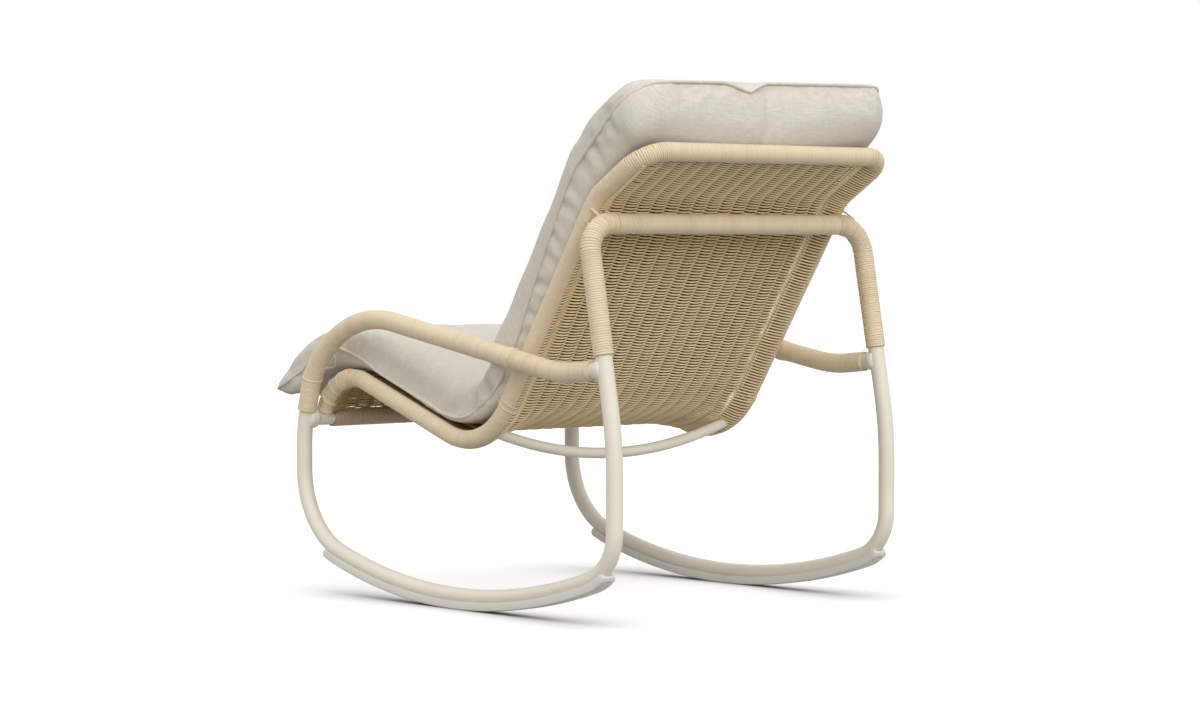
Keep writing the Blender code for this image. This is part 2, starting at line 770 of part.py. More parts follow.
def room_below(along):
    """Clear distance from the cushion's lower edge line to the weave and to the top rail."""
    under = on_cushion(min(max(along, 0.0), cushion_run), 0.0, -CUSHION_T / 2)
    to_weave = np.sqrt(((weave_line - np.array(under)) ** 2).sum(axis=1)).min() - PANEL_T / 2
    to_rail = (under - Vector((0.0, *HEAD_TOP))).length - FRAME_WRAP_R
    return min(to_weave, to_rail) - CLEAR


def sag_at(along):
    """Depth of the underside's bulge, down to a clear fit on the weave over the next stations too."""
    rooms = [room_below(along + CUSHION_STEP * k / 4) for k in range(-4, 5)]
    return min(rooms + [CUSHION_SAG])


def round_marks(radius, steps):
    """Insets from an edge of the stations that share a rounded corner out evenly."""
    return [radius * (1 - math.cos(math.pi / 2 * k / steps)) for k in range(1, steps + 1)]


def end_inset(along):
    return min(along, cushion_run - along)


def cushion_half(along, outset):
    """Half width at a place along the cushion, of its outline grown by an outset."""
    share = 2 * along / cushion_run - 1
    drawn = CUSHION_DRAW_IN * (1 - share ** 4)
    half = CUSHION_W / 2 - drawn + outset
    return rounded_half(half, CUSHION_CORNER_R + outset, end_inset(along) + outset)


def tip_share(along):
    """One at the front tip of the cushion, fading to nothing behind it."""
    return eased(1 - along / CUSHION_TIP_REACH)


def top_height(along):
    """Height of the rolled edge above the middle line, fuller on the back and thinner at the tip."""
    swell = CUSHION_BACK_SWELL * eased((along - elbow_at) / SEAM_EASE)
    return CUSHION_T / 2 + swell - CUSHION_TIP_FALL * tip_share(along)


def cushion_ring(along):
    """Section of the cushion: rolled above, crowned, and sagging onto the weave below."""
    half = cushion_half(along, 0.0)
    inset = end_inset(along)
    swell = eased(inset / (2 * CUSHION_ROLL_R))
    crown = CUSHION_CROWN * swell
    sag = sag_at(along) * swell
    top = rounded_half(top_height(along), CUSHION_ROLL_R, inset)
    low = rounded_half(CUSHION_T / 2 - CUSHION_TIP_LIFT * tip_share(along), CUSHION_EDGE_R, inset)
    roll = min(CUSHION_ROLL_R, (top + low) * 0.6)
    edge = min(CUSHION_EDGE_R, (top + low) * 0.3)
    corners = (
        (1, top, roll, (0.6, 0.2, -0.2, -0.6)),
        (-1, top, roll, ()),
        (-1, -low, edge, (-0.66, -0.33, 0.0, 0.33, 0.66)),
        (1, -low, edge, ()),
    )
    ring = []
    for quarter, (side, level, radius, between) in enumerate(corners):
        above = level > 0
        centre = level - radius if above else level + radius
        for k in range(EDGE_STEPS + 1):
            angle = math.pi / 2 * (quarter + k / EDGE_STEPS)
            x = side * (half - radius) + radius * math.cos(angle)
            ring.append(on_cushion(along, x, centre + radius * math.sin(angle)))
        for part in between:
            bulge = crown if above else -sag
            fade = 1 - (part * half / (half - radius)) ** 2
            ring.append(on_cushion(along, part * half, level + bulge * fade))
    return ring


cushion_marks = round_marks(CUSHION_ROLL_R, EDGE_STEPS) + round_marks(CUSHION_CORNER_R, EDGE_STEPS)
cushion_stations = stations(cushion_path, CUSHION_STEP, cushion_marks)
loft("cushion", [cushion_ring(s) for s in cushion_stations], LINEN, LIFT)

# Build: piping along the seam on the sides and ends of the cushion

seam_marks = [
    0.0, fold_at, fold_at + SEAM_EASE, elbow_at - SEAM_EASE / 4, elbow_at + SEAM_EASE, cushion_run
]
seam_heights = [SEAM_TIP, SEAM_FRONT, SEAM_SEAT, SEAM_SEAT, SEAM_BACK, SEAM_TOP]


def seam_height(along):
    return np.interp(along, seam_marks, seam_heights)


def seam_outset(along):
    """How far the piping's middle stands out from the cushion's widest outline; round edges take it in."""
    rise = max(seam_height(along) - top_height(along) + CUSHION_ROLL_R, 0.0)
    fall = max(CUSHION_EDGE_R - CUSHION_T / 2 - seam_height(along), 0.0)
    taken = CUSHION_ROLL_R - math.sqrt(CUSHION_ROLL_R ** 2 - rise ** 2)
    taken += CUSHION_EDGE_R - math.sqrt(CUSHION_EDGE_R ** 2 - fall ** 2)
    return PIPING_D / 2 + PIPING_GAP - taken


def piping_point(along, sign):
    x = sign * cushion_half(along, seam_outset(along))
    return on_cushion(along, x, seam_height(along))


def corner_marks_from(end):
    """Insets of the piping's stations around the corners at one end of the cushion."""
    outset = seam_outset(end)
    return [-outset] + [mark - outset for mark in round_marks(CUSHION_CORNER_R + outset, 2 * EDGE_STEPS)]


straight_from = CUSHION_CORNER_R + PIPING_D
piping_marks = corner_marks_from(0.0) + [s for s in cushion_stations if end_inset(s) > straight_from]
piping_marks += [cushion_run - mark for mark in reversed(corner_marks_from(cushion_run))]
piping_path = [piping_point(s, 1.0) for s in piping_marks]
piping_path += [piping_point(s, -1.0) for s in reversed(piping_marks)]
cord("piping", piping_path, PIPING_D, TRIM, LIFT, cyclic=True)

# Build: cushion ties at the front

for side, sign in sides:
    widest = max(cushion_half(TIE_AT, 0.0), cushion_half(TIE_AT - TIE_TAIL, 0.0))
    beside = Vector((sign * (widest + TIE_D / 2 + CLEAR), 0.0, 0.0))
    centre = point_at(cushion_path, TIE_AT) + Vector((0.0, 0.0, -TIE_DROP))
    loop = []
    for k in range(9):
        angle = math.radians(100.0 - 200.0 * k / 8)
        loop.append(centre + beside + Vector((0.0, math.cos(angle), math.sin(angle))) * TIE_LOOP_R)
    tail_way = (loop[-1] - loop[-2]).normalized()
    for k in range(1, 4):
        droop = Vector((0.0, 0.0, -TIE_DROOP * (k / 3) ** 2))
        loop.append(loop[8] + tail_way * (TIE_TAIL * k / 3) + droop)
    cord("tie_" + side, loop, TIE_D, TRIM, LIFT, resolution=2)

# Stand the chair on the floor with the middle of its footprint at the origin

bpy.context.view_layer.update()
graph = bpy.context.evaluated_depsgraph_get()
spots = []
for obj in PARTS.objects:
    if obj.type != "EMPTY":
        shape = obj.evaluated_get(graph).to_mesh()
        spots += [tuple(obj.matrix_world @ v.co) for v in shape.vertices]
low = np.min(spots, axis=0)
high = np.max(spots, axis=0)
CHAIR.location = (-(low[0] + high[0]) / 2, -(low[1] + high[1]) / 2, -low[2])
bpy.context.view_layer.update()
print("size, m:", np.round(high - low, 4), "moved by", [round(v, 5) for v in CHAIR.location])
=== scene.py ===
import math

import bmesh
import bpy
import numpy as np
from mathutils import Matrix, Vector


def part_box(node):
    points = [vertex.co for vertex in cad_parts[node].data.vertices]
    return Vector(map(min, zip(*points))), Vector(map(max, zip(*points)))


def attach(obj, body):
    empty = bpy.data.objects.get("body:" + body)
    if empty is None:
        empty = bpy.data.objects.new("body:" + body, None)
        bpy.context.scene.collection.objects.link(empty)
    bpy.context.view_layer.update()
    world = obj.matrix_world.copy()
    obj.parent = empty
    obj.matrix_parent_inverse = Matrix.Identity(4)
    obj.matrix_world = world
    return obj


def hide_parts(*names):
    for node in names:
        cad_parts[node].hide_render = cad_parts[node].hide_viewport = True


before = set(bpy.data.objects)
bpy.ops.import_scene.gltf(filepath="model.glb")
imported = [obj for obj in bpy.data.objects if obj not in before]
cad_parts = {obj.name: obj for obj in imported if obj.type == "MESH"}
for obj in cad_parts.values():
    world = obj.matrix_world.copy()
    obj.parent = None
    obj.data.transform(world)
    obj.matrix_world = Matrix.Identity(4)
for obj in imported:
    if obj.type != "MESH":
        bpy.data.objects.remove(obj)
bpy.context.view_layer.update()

# Looks of the outdoor rocking chair: coated tubes, wound wicker, woven seat and one long linen cushion

# Driving sizes in metres, as in the part's source; leans and slopes in degrees

CLEAR = 0.0003
TUBE_R = 0.014
FRAME_R = 0.0125
STRETCHER_R = 0.0095
TUBE_WRAP_R = 0.0172
FRAME_WRAP_R = 0.0157
HOOP_X = 0.322
FRAME_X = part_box("seat_frame")[1].x - FRAME_R
LASHED = HOOP_X - FRAME_X
LEG_FRONT_Y = -0.360
LEG_REAR_Y = 0.459
FRONT_BEND_R = 0.150
REAR_BEND_R = 0.085
ROCKER_R = 1.060
ROCKER_LOW = 0.435
LEG_KINK_Z = 0.300
LEG_KINK_R = 0.600
RAIL_BEND_R = 0.050
RAIL_STUB = 0.010
LEG_BARE = 0.008
POST_KINK_Z = 0.290
POST_KINK_R = 0.250
POST_LEAN = 14.0
SHOULDER_Z = 0.406
SHOULDER_R = 0.145
ARM_CORNER = (LEG_FRONT_Y + 0.1536, 0.5012)
ARM_BEND_R = 0.225
ARM_DIP = (LEG_REAR_Y - 0.129, 0.4065)
ARM_DIP_R = 0.250
ARM_END_Z = 0.4165
ARM_BARE = 0.016
FRONT_RAIL_Z = 0.3065
RAIL_INSET = 0.010
RAIL_POINT = np.array((LEG_FRONT_Y + RAIL_INSET, FRONT_RAIL_Z))
RISE_LENGTH = 0.106
RISE_LEAN = 15.0
RISE_BEND_R = 0.090
SEAT_LENGTH = 0.4465
SEAT_SLOPE = 19.8
SEAT_BEND_R = 0.130
BACK_LENGTH = 0.520
BACK_LEAN = 32.6
HEAD_LENGTH = 0.134
HEAD_LEAN = 57.5
HEAD_BEND_R = 0.080
TOP_BEND_R = 0.050
RAIL_BELOW_KINK = 0.0286
STRETCHER_BEHIND = 0.013
STRETCHER_BOW = 0.050
PANEL_PULL = 0.022
PANEL_PULL_REACH = 0.150
GLIDE_T = 0.0075
LOW_Z = GLIDE_T + CLEAR + TUBE_R
BEND_STEP = math.radians(3.0)
ROCKER_STEP = math.radians(0.8)
SIDES = (("left", 1.0), ("right", -1.0))
UP = np.array((0.0, 0.0, 1.0))
ACROSS = np.array((1.0, 0.0, 0.0))


# Path geometry

def heading(degrees):
    """Unit step in the YZ plane, at this angle above +Y."""
    return np.array((math.cos(math.radians(degrees)), math.sin(math.radians(degrees))))


def unit(v):
    return v / np.linalg.norm(v)


def flat(points, x):
    return [np.array((x, p[0], p[1])) for p in points]


def bent(corners, radii):
    """Line through corners with each inner corner rounded to its radius."""
    path = [corners[0]]
    for before, corner, after, radius in zip(corners, corners[1:], corners[2:], radii):
        back = unit(before - corner)
        ahead = unit(after - corner)
        turn = math.pi - math.acos(np.clip(back @ ahead, -1, 1))
        centre = corner + unit(back + ahead) * (radius / math.cos(turn / 2))
        start = corner + back * radius * math.tan(turn / 2) - centre
        count = max(3, math.ceil(turn / BEND_STEP))
        for angle in np.linspace(0, turn, count + 1):
            path.append(centre + start * math.cos(angle) - back * radius * math.sin(angle))
    path.append(corners[-1])
    return path


def distances(points):
    """Distance along a line of points, at each of them."""
    return np.concatenate(([0], np.cumsum(np.linalg.norm(np.diff(points, axis=0), axis=1))))


class Route:
    """A path with its length, and points and frames at any distance along it."""

    def __init__(self, points, spacing=0.004):
        points = np.array(points)
        run = distances(points)
        apart = np.concatenate(([True], np.diff(run) > 1e-6))
        points, run = points[apart], run[apart]
        self.length = run[-1]
        self.s = np.linspace(0, run[-1], max(int(run[-1] / spacing), 8) + 1)
        self.p = np.stack([np.interp(self.s, run, points[:, k]) for k in range(3)], axis=1)
        way = np.gradient(self.p, self.s, axis=0)
        self.t = way / np.linalg.norm(way, axis=1)[:, None]
        first = ACROSS if abs(self.t[0] @ ACROSS) < 0.9 else UP
        normals = []
        normal = first
        for t in self.t:
            normal = unit(normal - (normal @ t) * t)
            normals.append(normal)
        self.n = np.array(normals)
        self.b = np.cross(self.t, self.n)

    def at(self, s, field="p"):
        values = getattr(self, field)
        return np.stack([np.interp(s, self.s, values[:, k]) for k in range(3)], axis=-1)

    def part(self, start, end, spacing=0.004):
        count = max(int((end - start) / spacing), 4)
        return Route(self.at(np.linspace(start, end, count + 1)), spacing)

    def where(self, values):
        """Distance at the first sign change of values given at the route's own points."""
        k = int(np.argmax(values[:-1] * values[1:] <= 0))
        share = values[k] / (values[k] - values[k + 1])
        return self.s[k] + share * (self.s[k + 1] - self.s[k])

    def nearest(self, point):
        return self.s[int(np.argmin(((self.p - point) ** 2).sum(axis=1)))]


def mirrored(points):
    return [p * np.array((-1, 1, 1)) for p in points]


def eased(share):
    share = np.clip(share, 0.0, 1.0)
    return share * share * (3 - 2 * share)


# Outlines of the seat frame and of a hoop, in the YZ plane

RISE_TOP = RAIL_POINT + RISE_LENGTH * heading(90.0 - RISE_LEAN)
SEAT_LOW = RISE_TOP + SEAT_LENGTH * heading(-SEAT_SLOPE)
BACK_KINK = SEAT_LOW + BACK_LENGTH * heading(90.0 - BACK_LEAN)
HEAD_TOP = BACK_KINK + HEAD_LENGTH * heading(90.0 - HEAD_LEAN)
BACK_WAY = unit(BACK_KINK - SEAT_LOW)
BACK_REAR = np.array((BACK_WAY[1], -BACK_WAY[0]))
CROSS_RAIL = BACK_KINK - BACK_WAY * RAIL_BELOW_KINK + BACK_REAR * LASHED
rail_low, rail_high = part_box("cross_rail")
SHIFT = np.array((0.0, (rail_low.y + rail_high.y) / 2 - CROSS_RAIL[0], 0.0))


def shifted(points):
    return [p + SHIFT for p in points]


def placed(point, x=0.0):
    """A point of an outline, in its place in the frame and this far across the chair."""
    return np.array((x, *point)) + SHIFT


side_corners = flat([RAIL_POINT, RISE_TOP, SEAT_LOW, BACK_KINK, HEAD_TOP], FRAME_X)
side_radii = [RISE_BEND_R, SEAT_BEND_R, HEAD_BEND_R]
side_line = shifted(bent(side_corners, side_radii))
frame_corners = side_corners + mirrored(side_corners[::-1])
frame_radii = side_radii + [TOP_BEND_R, TOP_BEND_R] + side_radii[::-1]
frame_route = Route(shifted(bent(frame_corners, frame_radii)))


def arc(centre, radius, first, last, step=BEND_STEP):
    """Points of an arc; angles are measured from straight down towards +Y."""
    angles = np.linspace(first, last, max(3, math.ceil(abs(last - first) / step)) + 1)
    return [np.array((centre[0] + radius * math.sin(a), centre[1] - radius * math.cos(a))) for a in angles]


def rocker_blend(leg_y, radius, inward):
    """Centre of the bend between a leg and the rocker, and the angle where it meets the rocker."""
    y = leg_y + inward * radius
    span = ROCKER_R - radius
    angle = math.asin((y - LEG_FRONT_Y - ROCKER_LOW) / span)
    return (y, LOW_Z + ROCKER_R - span * math.cos(angle)), angle


front_bend, front_angle = rocker_blend(LEG_FRONT_Y, FRONT_BEND_R, 1.0)
rear_bend, rear_angle = rocker_blend(LEG_REAR_Y, REAR_BEND_R, -1.0)
rocker_middle = (LEG_FRONT_Y + ROCKER_LOW, LOW_Z + ROCKER_R)
foot_outline = (
    arc(front_bend, FRONT_BEND_R, -math.pi / 2, front_angle)
    + arc(rocker_middle, ROCKER_R, front_angle, rear_angle, ROCKER_STEP)[1:-1]
    + arc(rear_bend, REAR_BEND_R, rear_angle, math.pi / 2)
)
LEG_KINK = np.array((LEG_REAR_Y, LEG_KINK_Z))
LEAN = (CROSS_RAIL - LEG_KINK) / (CROSS_RAIL[1] - LEG_KINK[1])
ARM_END = LEG_KINK + LEAN * (ARM_END_Z - LEG_KINK_Z)
shoulder = (LEG_FRONT_Y + (SHOULDER_Z - POST_KINK_Z) * math.tan(math.radians(POST_LEAN)), SHOULDER_Z)
arm_points = [ARM_END, ARM_DIP, ARM_CORNER, shoulder, (LEG_FRONT_Y, POST_KINK_Z), foot_outline[0]]
leg_corners = flat([foot_outline[-1], LEG_KINK, CROSS_RAIL], HOOP_X)
leg_corners.append(np.array((HOOP_X - RAIL_BEND_R - RAIL_STUB, *CROSS_RAIL)))
hoop_line = shifted(
    bent(flat(arm_points, HOOP_X), [ARM_DIP_R, ARM_BEND_R, SHOULDER_R, POST_KINK_R])[:-1]
    + flat(foot_outline, HOOP_X)
    + bent(leg_corners, [LEG_KINK_R, RAIL_BEND_R])[1:]
)
hoop_route = Route(hoop_line)
hoop_from_rail = Route(hoop_line[::-1])


def on_side(points, sign):
    return list(points) if sign > 0 else mirrored(points)


# Mesh makers

def set_values(mesh, key, values, kind="FLOAT", field="value"):
    """Store a named value, or a vector, for each point of a mesh."""
    numbers = np.asarray(values, np.float32).reshape(-1)
    mesh.attributes.new(key, kind, "POINT").data.foreach_set(field, numbers)


def new_mesh(name, verts, faces, look, **values):
    """Smooth-shaded object from points and faces, with named values per point."""
    mesh = bpy.data.meshes.new(name)
    mesh.from_pydata([tuple(v) for v in verts], [], [tuple(f) for f in faces])
    for key, value in values.items():
        set_values(mesh, key, value)
    mesh.shade_smooth()
    obj = bpy.data.objects.new(name, mesh)
    bpy.context.scene.collection.objects.link(obj)
    mesh.materials.append(look)
    return obj


def keep(obj, slot, *nodes):
    """Let a finished piece ride on the chair in place of CAD nodes; the slot is not used."""
    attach(obj, "root")
    if nodes:
        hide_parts(*nodes)
    return obj


def ring_faces(rows, count):
    """Quads between rows of points in rings of equal count."""
    faces = []
    for a in range(0, (rows - 1) * count, count):
        b = a + count
        faces += [(a + k, a + (k + 1) % count, b + (k + 1) % count, b + k) for k in range(count)]
    return faces


def tube_faces(rows, count):
    """Quads between rings of points, with a face over each end."""
    last = (rows - 1) * count
    return ring_faces(rows, count) + [tuple(range(count))[::-1], tuple(range(last, last + count))]


def sweep(route, radius, count):
    """Round tube along a route, closed at both ends; radius is one value or one per station."""
    angles = np.linspace(0, 2 * math.pi, count, endpoint=False)
    radius = np.broadcast_to(radius, route.s.shape)[:, None, None]
    rim = route.n[:, None] * np.cos(angles)[None, :, None]
    rim = rim + route.b[:, None] * np.sin(angles)[None, :, None]
    verts = (route.p[:, None] + rim * radius).reshape(-1, 3)
    return verts, tube_faces(len(route.s), count)


def join(*pieces):
    """Several meshes as one list of points and faces."""
    verts = []
    faces = []
    for points, sides in pieces:
        start = sum(len(v) for v in verts)
        verts.append(np.asarray(points))
        faces += [tuple(k + start for k in f) for f in sides]
    return np.concatenate(verts), faces


def welded(verts, faces, values):
    """Points that fall together become one, and faces without area go."""
    keys = np.round(verts * 2e6).astype(np.int64)
    _, first, back = np.unique(keys, axis=0, return_index=True, return_inverse=True)
    back = back.reshape(-1)
    kept = []
    for f in faces:
        ring = []
        for k in f:
            if back[k] not in ring:
                ring.append(int(back[k]))
        if len(ring) > 2:
            kept.append(tuple(ring))
    return verts[first], kept, {key: np.asarray(v)[first] for key, v in values.items()}


def spread_noise(rng, count, smooth):
    """Even random values, smoothed over this many neighbours, from -1 to 1."""
    raw = rng.uniform(-1, 1, count + 2 * smooth)
    window = np.hanning(smooth * 2 + 1)
    soft = np.convolve(raw, window / window.sum(), mode="same")[smooth:smooth + count]
    return soft / max(np.abs(soft).max(), 1e-6)


# Materials

def shader(name):
    made = bpy.data.materials.new(name)
    made.use_nodes = True
    tree = made.node_tree
    return made, tree, tree.nodes["Principled BSDF"]


def feed(tree, socket, value):
    """Link an output to a socket, or set the socket's own number or colour."""
    if hasattr(value, "is_linked"):
        tree.links.new(value, socket)
    elif isinstance(value, tuple):
        socket.default_value = (*value, 1.0)
    else:
        socket.default_value = value


def fill(tree, made, inputs):
    """Feed a node's inputs by their names."""
    for key, value in inputs.items():
        feed(tree, made.inputs[key], value)


def node(tree, kind, **settings):
    """New node; each setting feeds the input of that name, or else is a property of the node."""
    made = tree.nodes.new(kind)
    for key, value in settings.items():
        if key in made.inputs:
            feed(tree, made.inputs[key], value)
        else:
            setattr(made, key, value)
    return made


def noise_of(tree, vector, scale, detail, roughness=0.55):
    made = node(tree, "ShaderNodeTexNoise", Vector=vector, Scale=scale, Detail=detail, Roughness=roughness)
    return made.outputs["Fac"]


def ramp_of(tree, factor, stops):
    made = node(tree, "ShaderNodeValToRGB", Fac=factor)
    band = made.color_ramp
    while len(band.elements) < len(stops):
        band.elements.new(0.5)
    for element, (place, colour) in zip(band.elements, stops):
        element.position = place
        element.color = (*colour, 1.0)
    return made.outputs["Color"]


def mixed(tree, factor, a, b):
    """Colour a, or colour b where the factor is one; a Mix node has its colours at sockets 6 and 7."""
    made = node(tree, "ShaderNodeMix", data_type="RGBA")
    for place, value in ((0, factor), (6, a), (7, b)):
        feed(tree, made.inputs[place], value)
    return made.outputs[2]


def math_of(tree, operation, *values):
    made = node(tree, "ShaderNodeMath", operation=operation)
    for socket, value in zip(made.inputs, values):
        feed(tree, socket, value)
    return made.outputs[0]


def summed(tree, first, *others):
    """Sum of outputs, each given with its share."""
    total = math_of(tree, "MULTIPLY", *first)
    for output, share in others:
        total = math_of(tree, "MULTIPLY_ADD", output, share, total)
    return total


def bump_of(tree, target, height, strength, distance):
    made = node(tree, "ShaderNodeBump", Height=height, Strength=strength, Distance=distance)
    tree.links.new(made.outputs["Normal"], target.inputs["Normal"])


def place_of(tree, output="Object"):
    return node(tree, "ShaderNodeTexCoord").outputs[output]


def value_of(tree, name):
    return node(tree, "ShaderNodeAttribute", attribute_name=name).outputs["Fac"]


def coat(name, light, dark, rough_low, rough_high, grain):
    """Smooth coated or moulded surface: faint mottling, uneven gloss and a fine grain."""
    made, tree, principled = shader(name)
    place = place_of(tree)
    broad = noise_of(tree, place, 9.0, 3.0)
    colour = ramp_of(tree, broad, ((0.3, dark), (0.7, light)))
    rough = node(tree, "ShaderNodeMapRange", Value=noise_of(tree, place, 40.0, 4.0))
    fill(tree, rough, {"To Min": rough_low, "To Max": rough_high})
    fill(tree, principled, {"Base Color": colour, "Roughness": rough.outputs["Result"]})
    bump_of(tree, principled, noise_of(tree, place, grain, 2.0), 0.12, 0.0004)
    return made, principled


def wicker(name, light, dark, gap, gloss):
    """Matt synthetic strand: each turn its own tone, streaks along it, and painted shade that turns the
    colour to the shade colour where a point's painted shade value is one.
    """
    made, tree, principled = shader(name)
    place = place_of(tree)
    streak = noise_of(tree, place, 160.0, 4.0, 0.7)
    broad = noise_of(tree, place, 14.0, 2.0)
    tone = summed(tree, (value_of(tree, "tone"), 0.5), (streak, 0.30), (broad, 0.20))
    tone = math_of(tree, "ADD", tone, 0.25)
    colour = ramp_of(tree, tone, ((0.30, dark), (0.78, light)))
    # Painted shade: darker in grooves, slots and shaded parts, by each point's painted shade value.
    colour = mixed(tree, value_of(tree, "gap"), colour, gap)
    fill(tree, principled, {"Base Color": colour, "Roughness": 0.52, "Specular IOR Level": gloss})
    bump_of(tree, principled, streak, 0.18, 0.0003)
    return made


# Painted shade colour for the cushion's underside where it rests on the weave.
UNDERSIDE_SHADE = (0.150, 0.075, 0.006)
CLOTH_SURFACE = {"Roughness": 0.92, "Specular IOR Level": 0.2, "Sheen Weight": 0.12, "Sheen Roughness": 0.5}


def linen(name, light, dark, laid_out):
    """Slubbed plain weave, laid out by the cloth's own lengths where a piece has them."""
    made, tree, principled = shader(name)
    cloth = place_of(tree)
    if laid_out:
        cloth = node(tree, "ShaderNodeAttribute", attribute_name="cloth").outputs["Vector"]

    def threads(across, along, detail):
        stretch = node(tree, "ShaderNodeMapping", Vector=cloth, Scale=[across, along, 1.0])
        return noise_of(tree, stretch.outputs["Vector"], 1.0, detail, 0.6)

    weft = threads(45.0, 520.0, 3.0)
    warp = threads(620.0, 60.0, 3.0)
    broad = noise_of(tree, place_of(tree), 7.0, 3.0)
    weave = summed(tree, (weft, 0.6), (warp, 0.4))
    tone = summed(tree, (weave, 0.92), (broad, 0.08))
    colour = ramp_of(tree, tone, ((0.36, dark), (0.62, light)))
    # Painted shade: the cloth turns to the underside shade colour by each point's painted shade value.
    colour = mixed(tree, value_of(tree, "cloth_painted_shade"), colour, UNDERSIDE_SHADE)
    fill(tree, principled, {"Base Color": colour, **CLOTH_SURFACE})
    bump_of(tree, principled, weave, 0.35, 0.0010)
    return made


IVORY, _ = coat("ivory_coat", (0.79, 0.755, 0.655), (0.75, 0.715, 0.615), 0.34, 0.46, 900.0)
GLIDE, _ = coat("glide_plastic", (0.74, 0.72, 0.68), (0.68, 0.66, 0.62), 0.30, 0.45, 500.0)
STEEL, steel_shader = coat("screw_steel", (0.52, 0.51, 0.49), (0.42, 0.41, 0.39), 0.30, 0.45, 700.0)
steel_shader.inputs["Metallic"].default_value = 1.0
# The third colour of each wicker is its painted shade colour.
WOUND = wicker("wicker_wound", (0.79, 0.655, 0.472), (0.67, 0.535, 0.352), (0.24, 0.155, 0.06), 0.42)
WOVEN = wicker("wicker_woven", (0.93, 0.760, 0.475), (0.84, 0.66, 0.380), (0.300, 0.140, 0.004), 0.12)
LINEN = linen("linen", (0.725, 0.692, 0.628), (0.58, 0.550, 0.490), True)
TRIM = linen("linen_trim", (0.72, 0.685, 0.610), (0.60, 0.565, 0.495), False)

# Camera at the photograph's viewing angle

CAMERA_PLACE = (3.9015, 4.3377, 0.6175)
CAMERA_TURN = math.radians(42.4)
CAMERA_DIP = math.radians(1.93)
CAMERA_LENS = 98.64
CAMERA_SHIFT = 0.00233
camera_data = bpy.data.cameras.new("photo_camera")
camera = bpy.data.objects.new("photo_camera", camera_data)
bpy.context.scene.collection.objects.link(camera)
camera.location = np.array(CAMERA_PLACE) + SHIFT
look = Vector((-math.sin(CAMERA_TURN), -math.cos(CAMERA_TURN), -math.tan(CAMERA_DIP)))
camera.rotation_euler = look.to_track_quat("-Z", "Y").to_euler()
camera_data.sensor_fit = "HORIZONTAL"
camera_data.sensor_width = 36.0
camera_data.lens = CAMERA_LENS
camera_data.shift_x = CAMERA_SHIFT
bpy.context.scene.camera = camera

# Bare tubes with their welds

WELD_RISE = 0.0045
WELD_FADE = 0.0035
TUBE_STEP = 0.006
BOW_POINTS = 81
leg_wrap_z = ARM_END_Z + TUBE_R + LEG_BARE
foot_start = hoop_route.where(hoop_route.p[:, 2] - FRONT_RAIL_Z)
leg_wrap_at = hoop_route.length - hoop_from_rail.where(hoop_from_rail.p[:, 2] - leg_wrap_z)


def weld_flare(distance, radius):
    """Tube radius near a weld: a small fillet that fades away from the other tube's skin."""
    return radius + WELD_RISE * np.exp(-np.clip(distance, 0, None) / WELD_FADE)


def bare_tube(name, route, radius, count, cad_node):
    keep(new_mesh(name, *sweep(route, radius, count), IVORY), "ivory_coat", cad_node)


def straight(point, half):
    """Ends of a line across the chair, through a point of an outline."""
    return [placed(point, -half), placed(point, half)]


for side, sign in SIDES:
    route = Route(on_side(hoop_line, sign), TUBE_STEP)
    bare_tube("hoop_tube_" + side, route, weld_flare(route.s - TUBE_R, TUBE_R), 28, "hoop_" + side)

front_route = Route(straight(RAIL_POINT, HOOP_X), 0.002)
from_leg = HOOP_X - np.abs(front_route.p[:, 0]) - TUBE_R
bare_tube("front_rail_tube", front_route, weld_flare(from_leg, FRAME_R), 24, "front_rail")

stretcher_y = SEAT_LOW[0] + STRETCHER_BEHIND + SHIFT[1]
side_route = Route(side_line)
weld_z = side_route.at(side_route.where(side_route.p[:, 1] - stretcher_y))[2]
bow_r = (FRAME_X ** 2 + STRETCHER_BOW ** 2) / (2 * STRETCHER_BOW)
bow_half = math.asin((FRAME_X - FRAME_WRAP_R) / bow_r)
bow = [
    np.array((bow_r * math.sin(a), stretcher_y, weld_z + bow_r * (1 - math.cos(a)) - STRETCHER_BOW))
    for a in np.linspace(-bow_half, bow_half, BOW_POINTS)
]
bare_tube("stretcher_tube", Route(bow, TUBE_STEP), STRETCHER_R, 20, "stretcher")


def dress(name, look):
    """Give a CAD node that stays in view its material."""
    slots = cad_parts[name].data.materials
    slots.clear()
    slots.append(look)


for name in ("cross_rail", "seat_frame"):
    dress(name, IVORY)
for place in ("front", "rear"):
    for side, _ in SIDES:
        dress("screw_" + place + "_" + side, STEEL)

# Rocker glides: a channel under the tube with soft edges and blunt ends

GLIDE_FRONT = 0.072
GLIDE_REAR = 0.020
GLIDE_RIM = 0.0070
GLIDE_HALF = 0.0153
GLIDE_CORNER = 0.0026
GLIDE_CUT = 0.008
GLIDE_NOSE = 0.004
SCREW_INSET = 0.016
# Depth and radius along a countersunk hole
SCREW_HOLE = ((-0.0040, 0.0042), (0.0010, 0.0042), (0.0036, 0.0022), (0.0100, 0.0022))
HOLE_SIDES = 24
foot = hoop_route.part(foot_start, leg_wrap_at)
glide_from = foot.where(foot.p[:, 1] - SHIFT[1] - LEG_FRONT_Y - GLIDE_FRONT)
glide_to = foot.where(foot.p[:, 1] - SHIFT[1] - LEG_REAR_Y + GLIDE_REAR)
glide_route = foot.part(glide_from, glide_to)


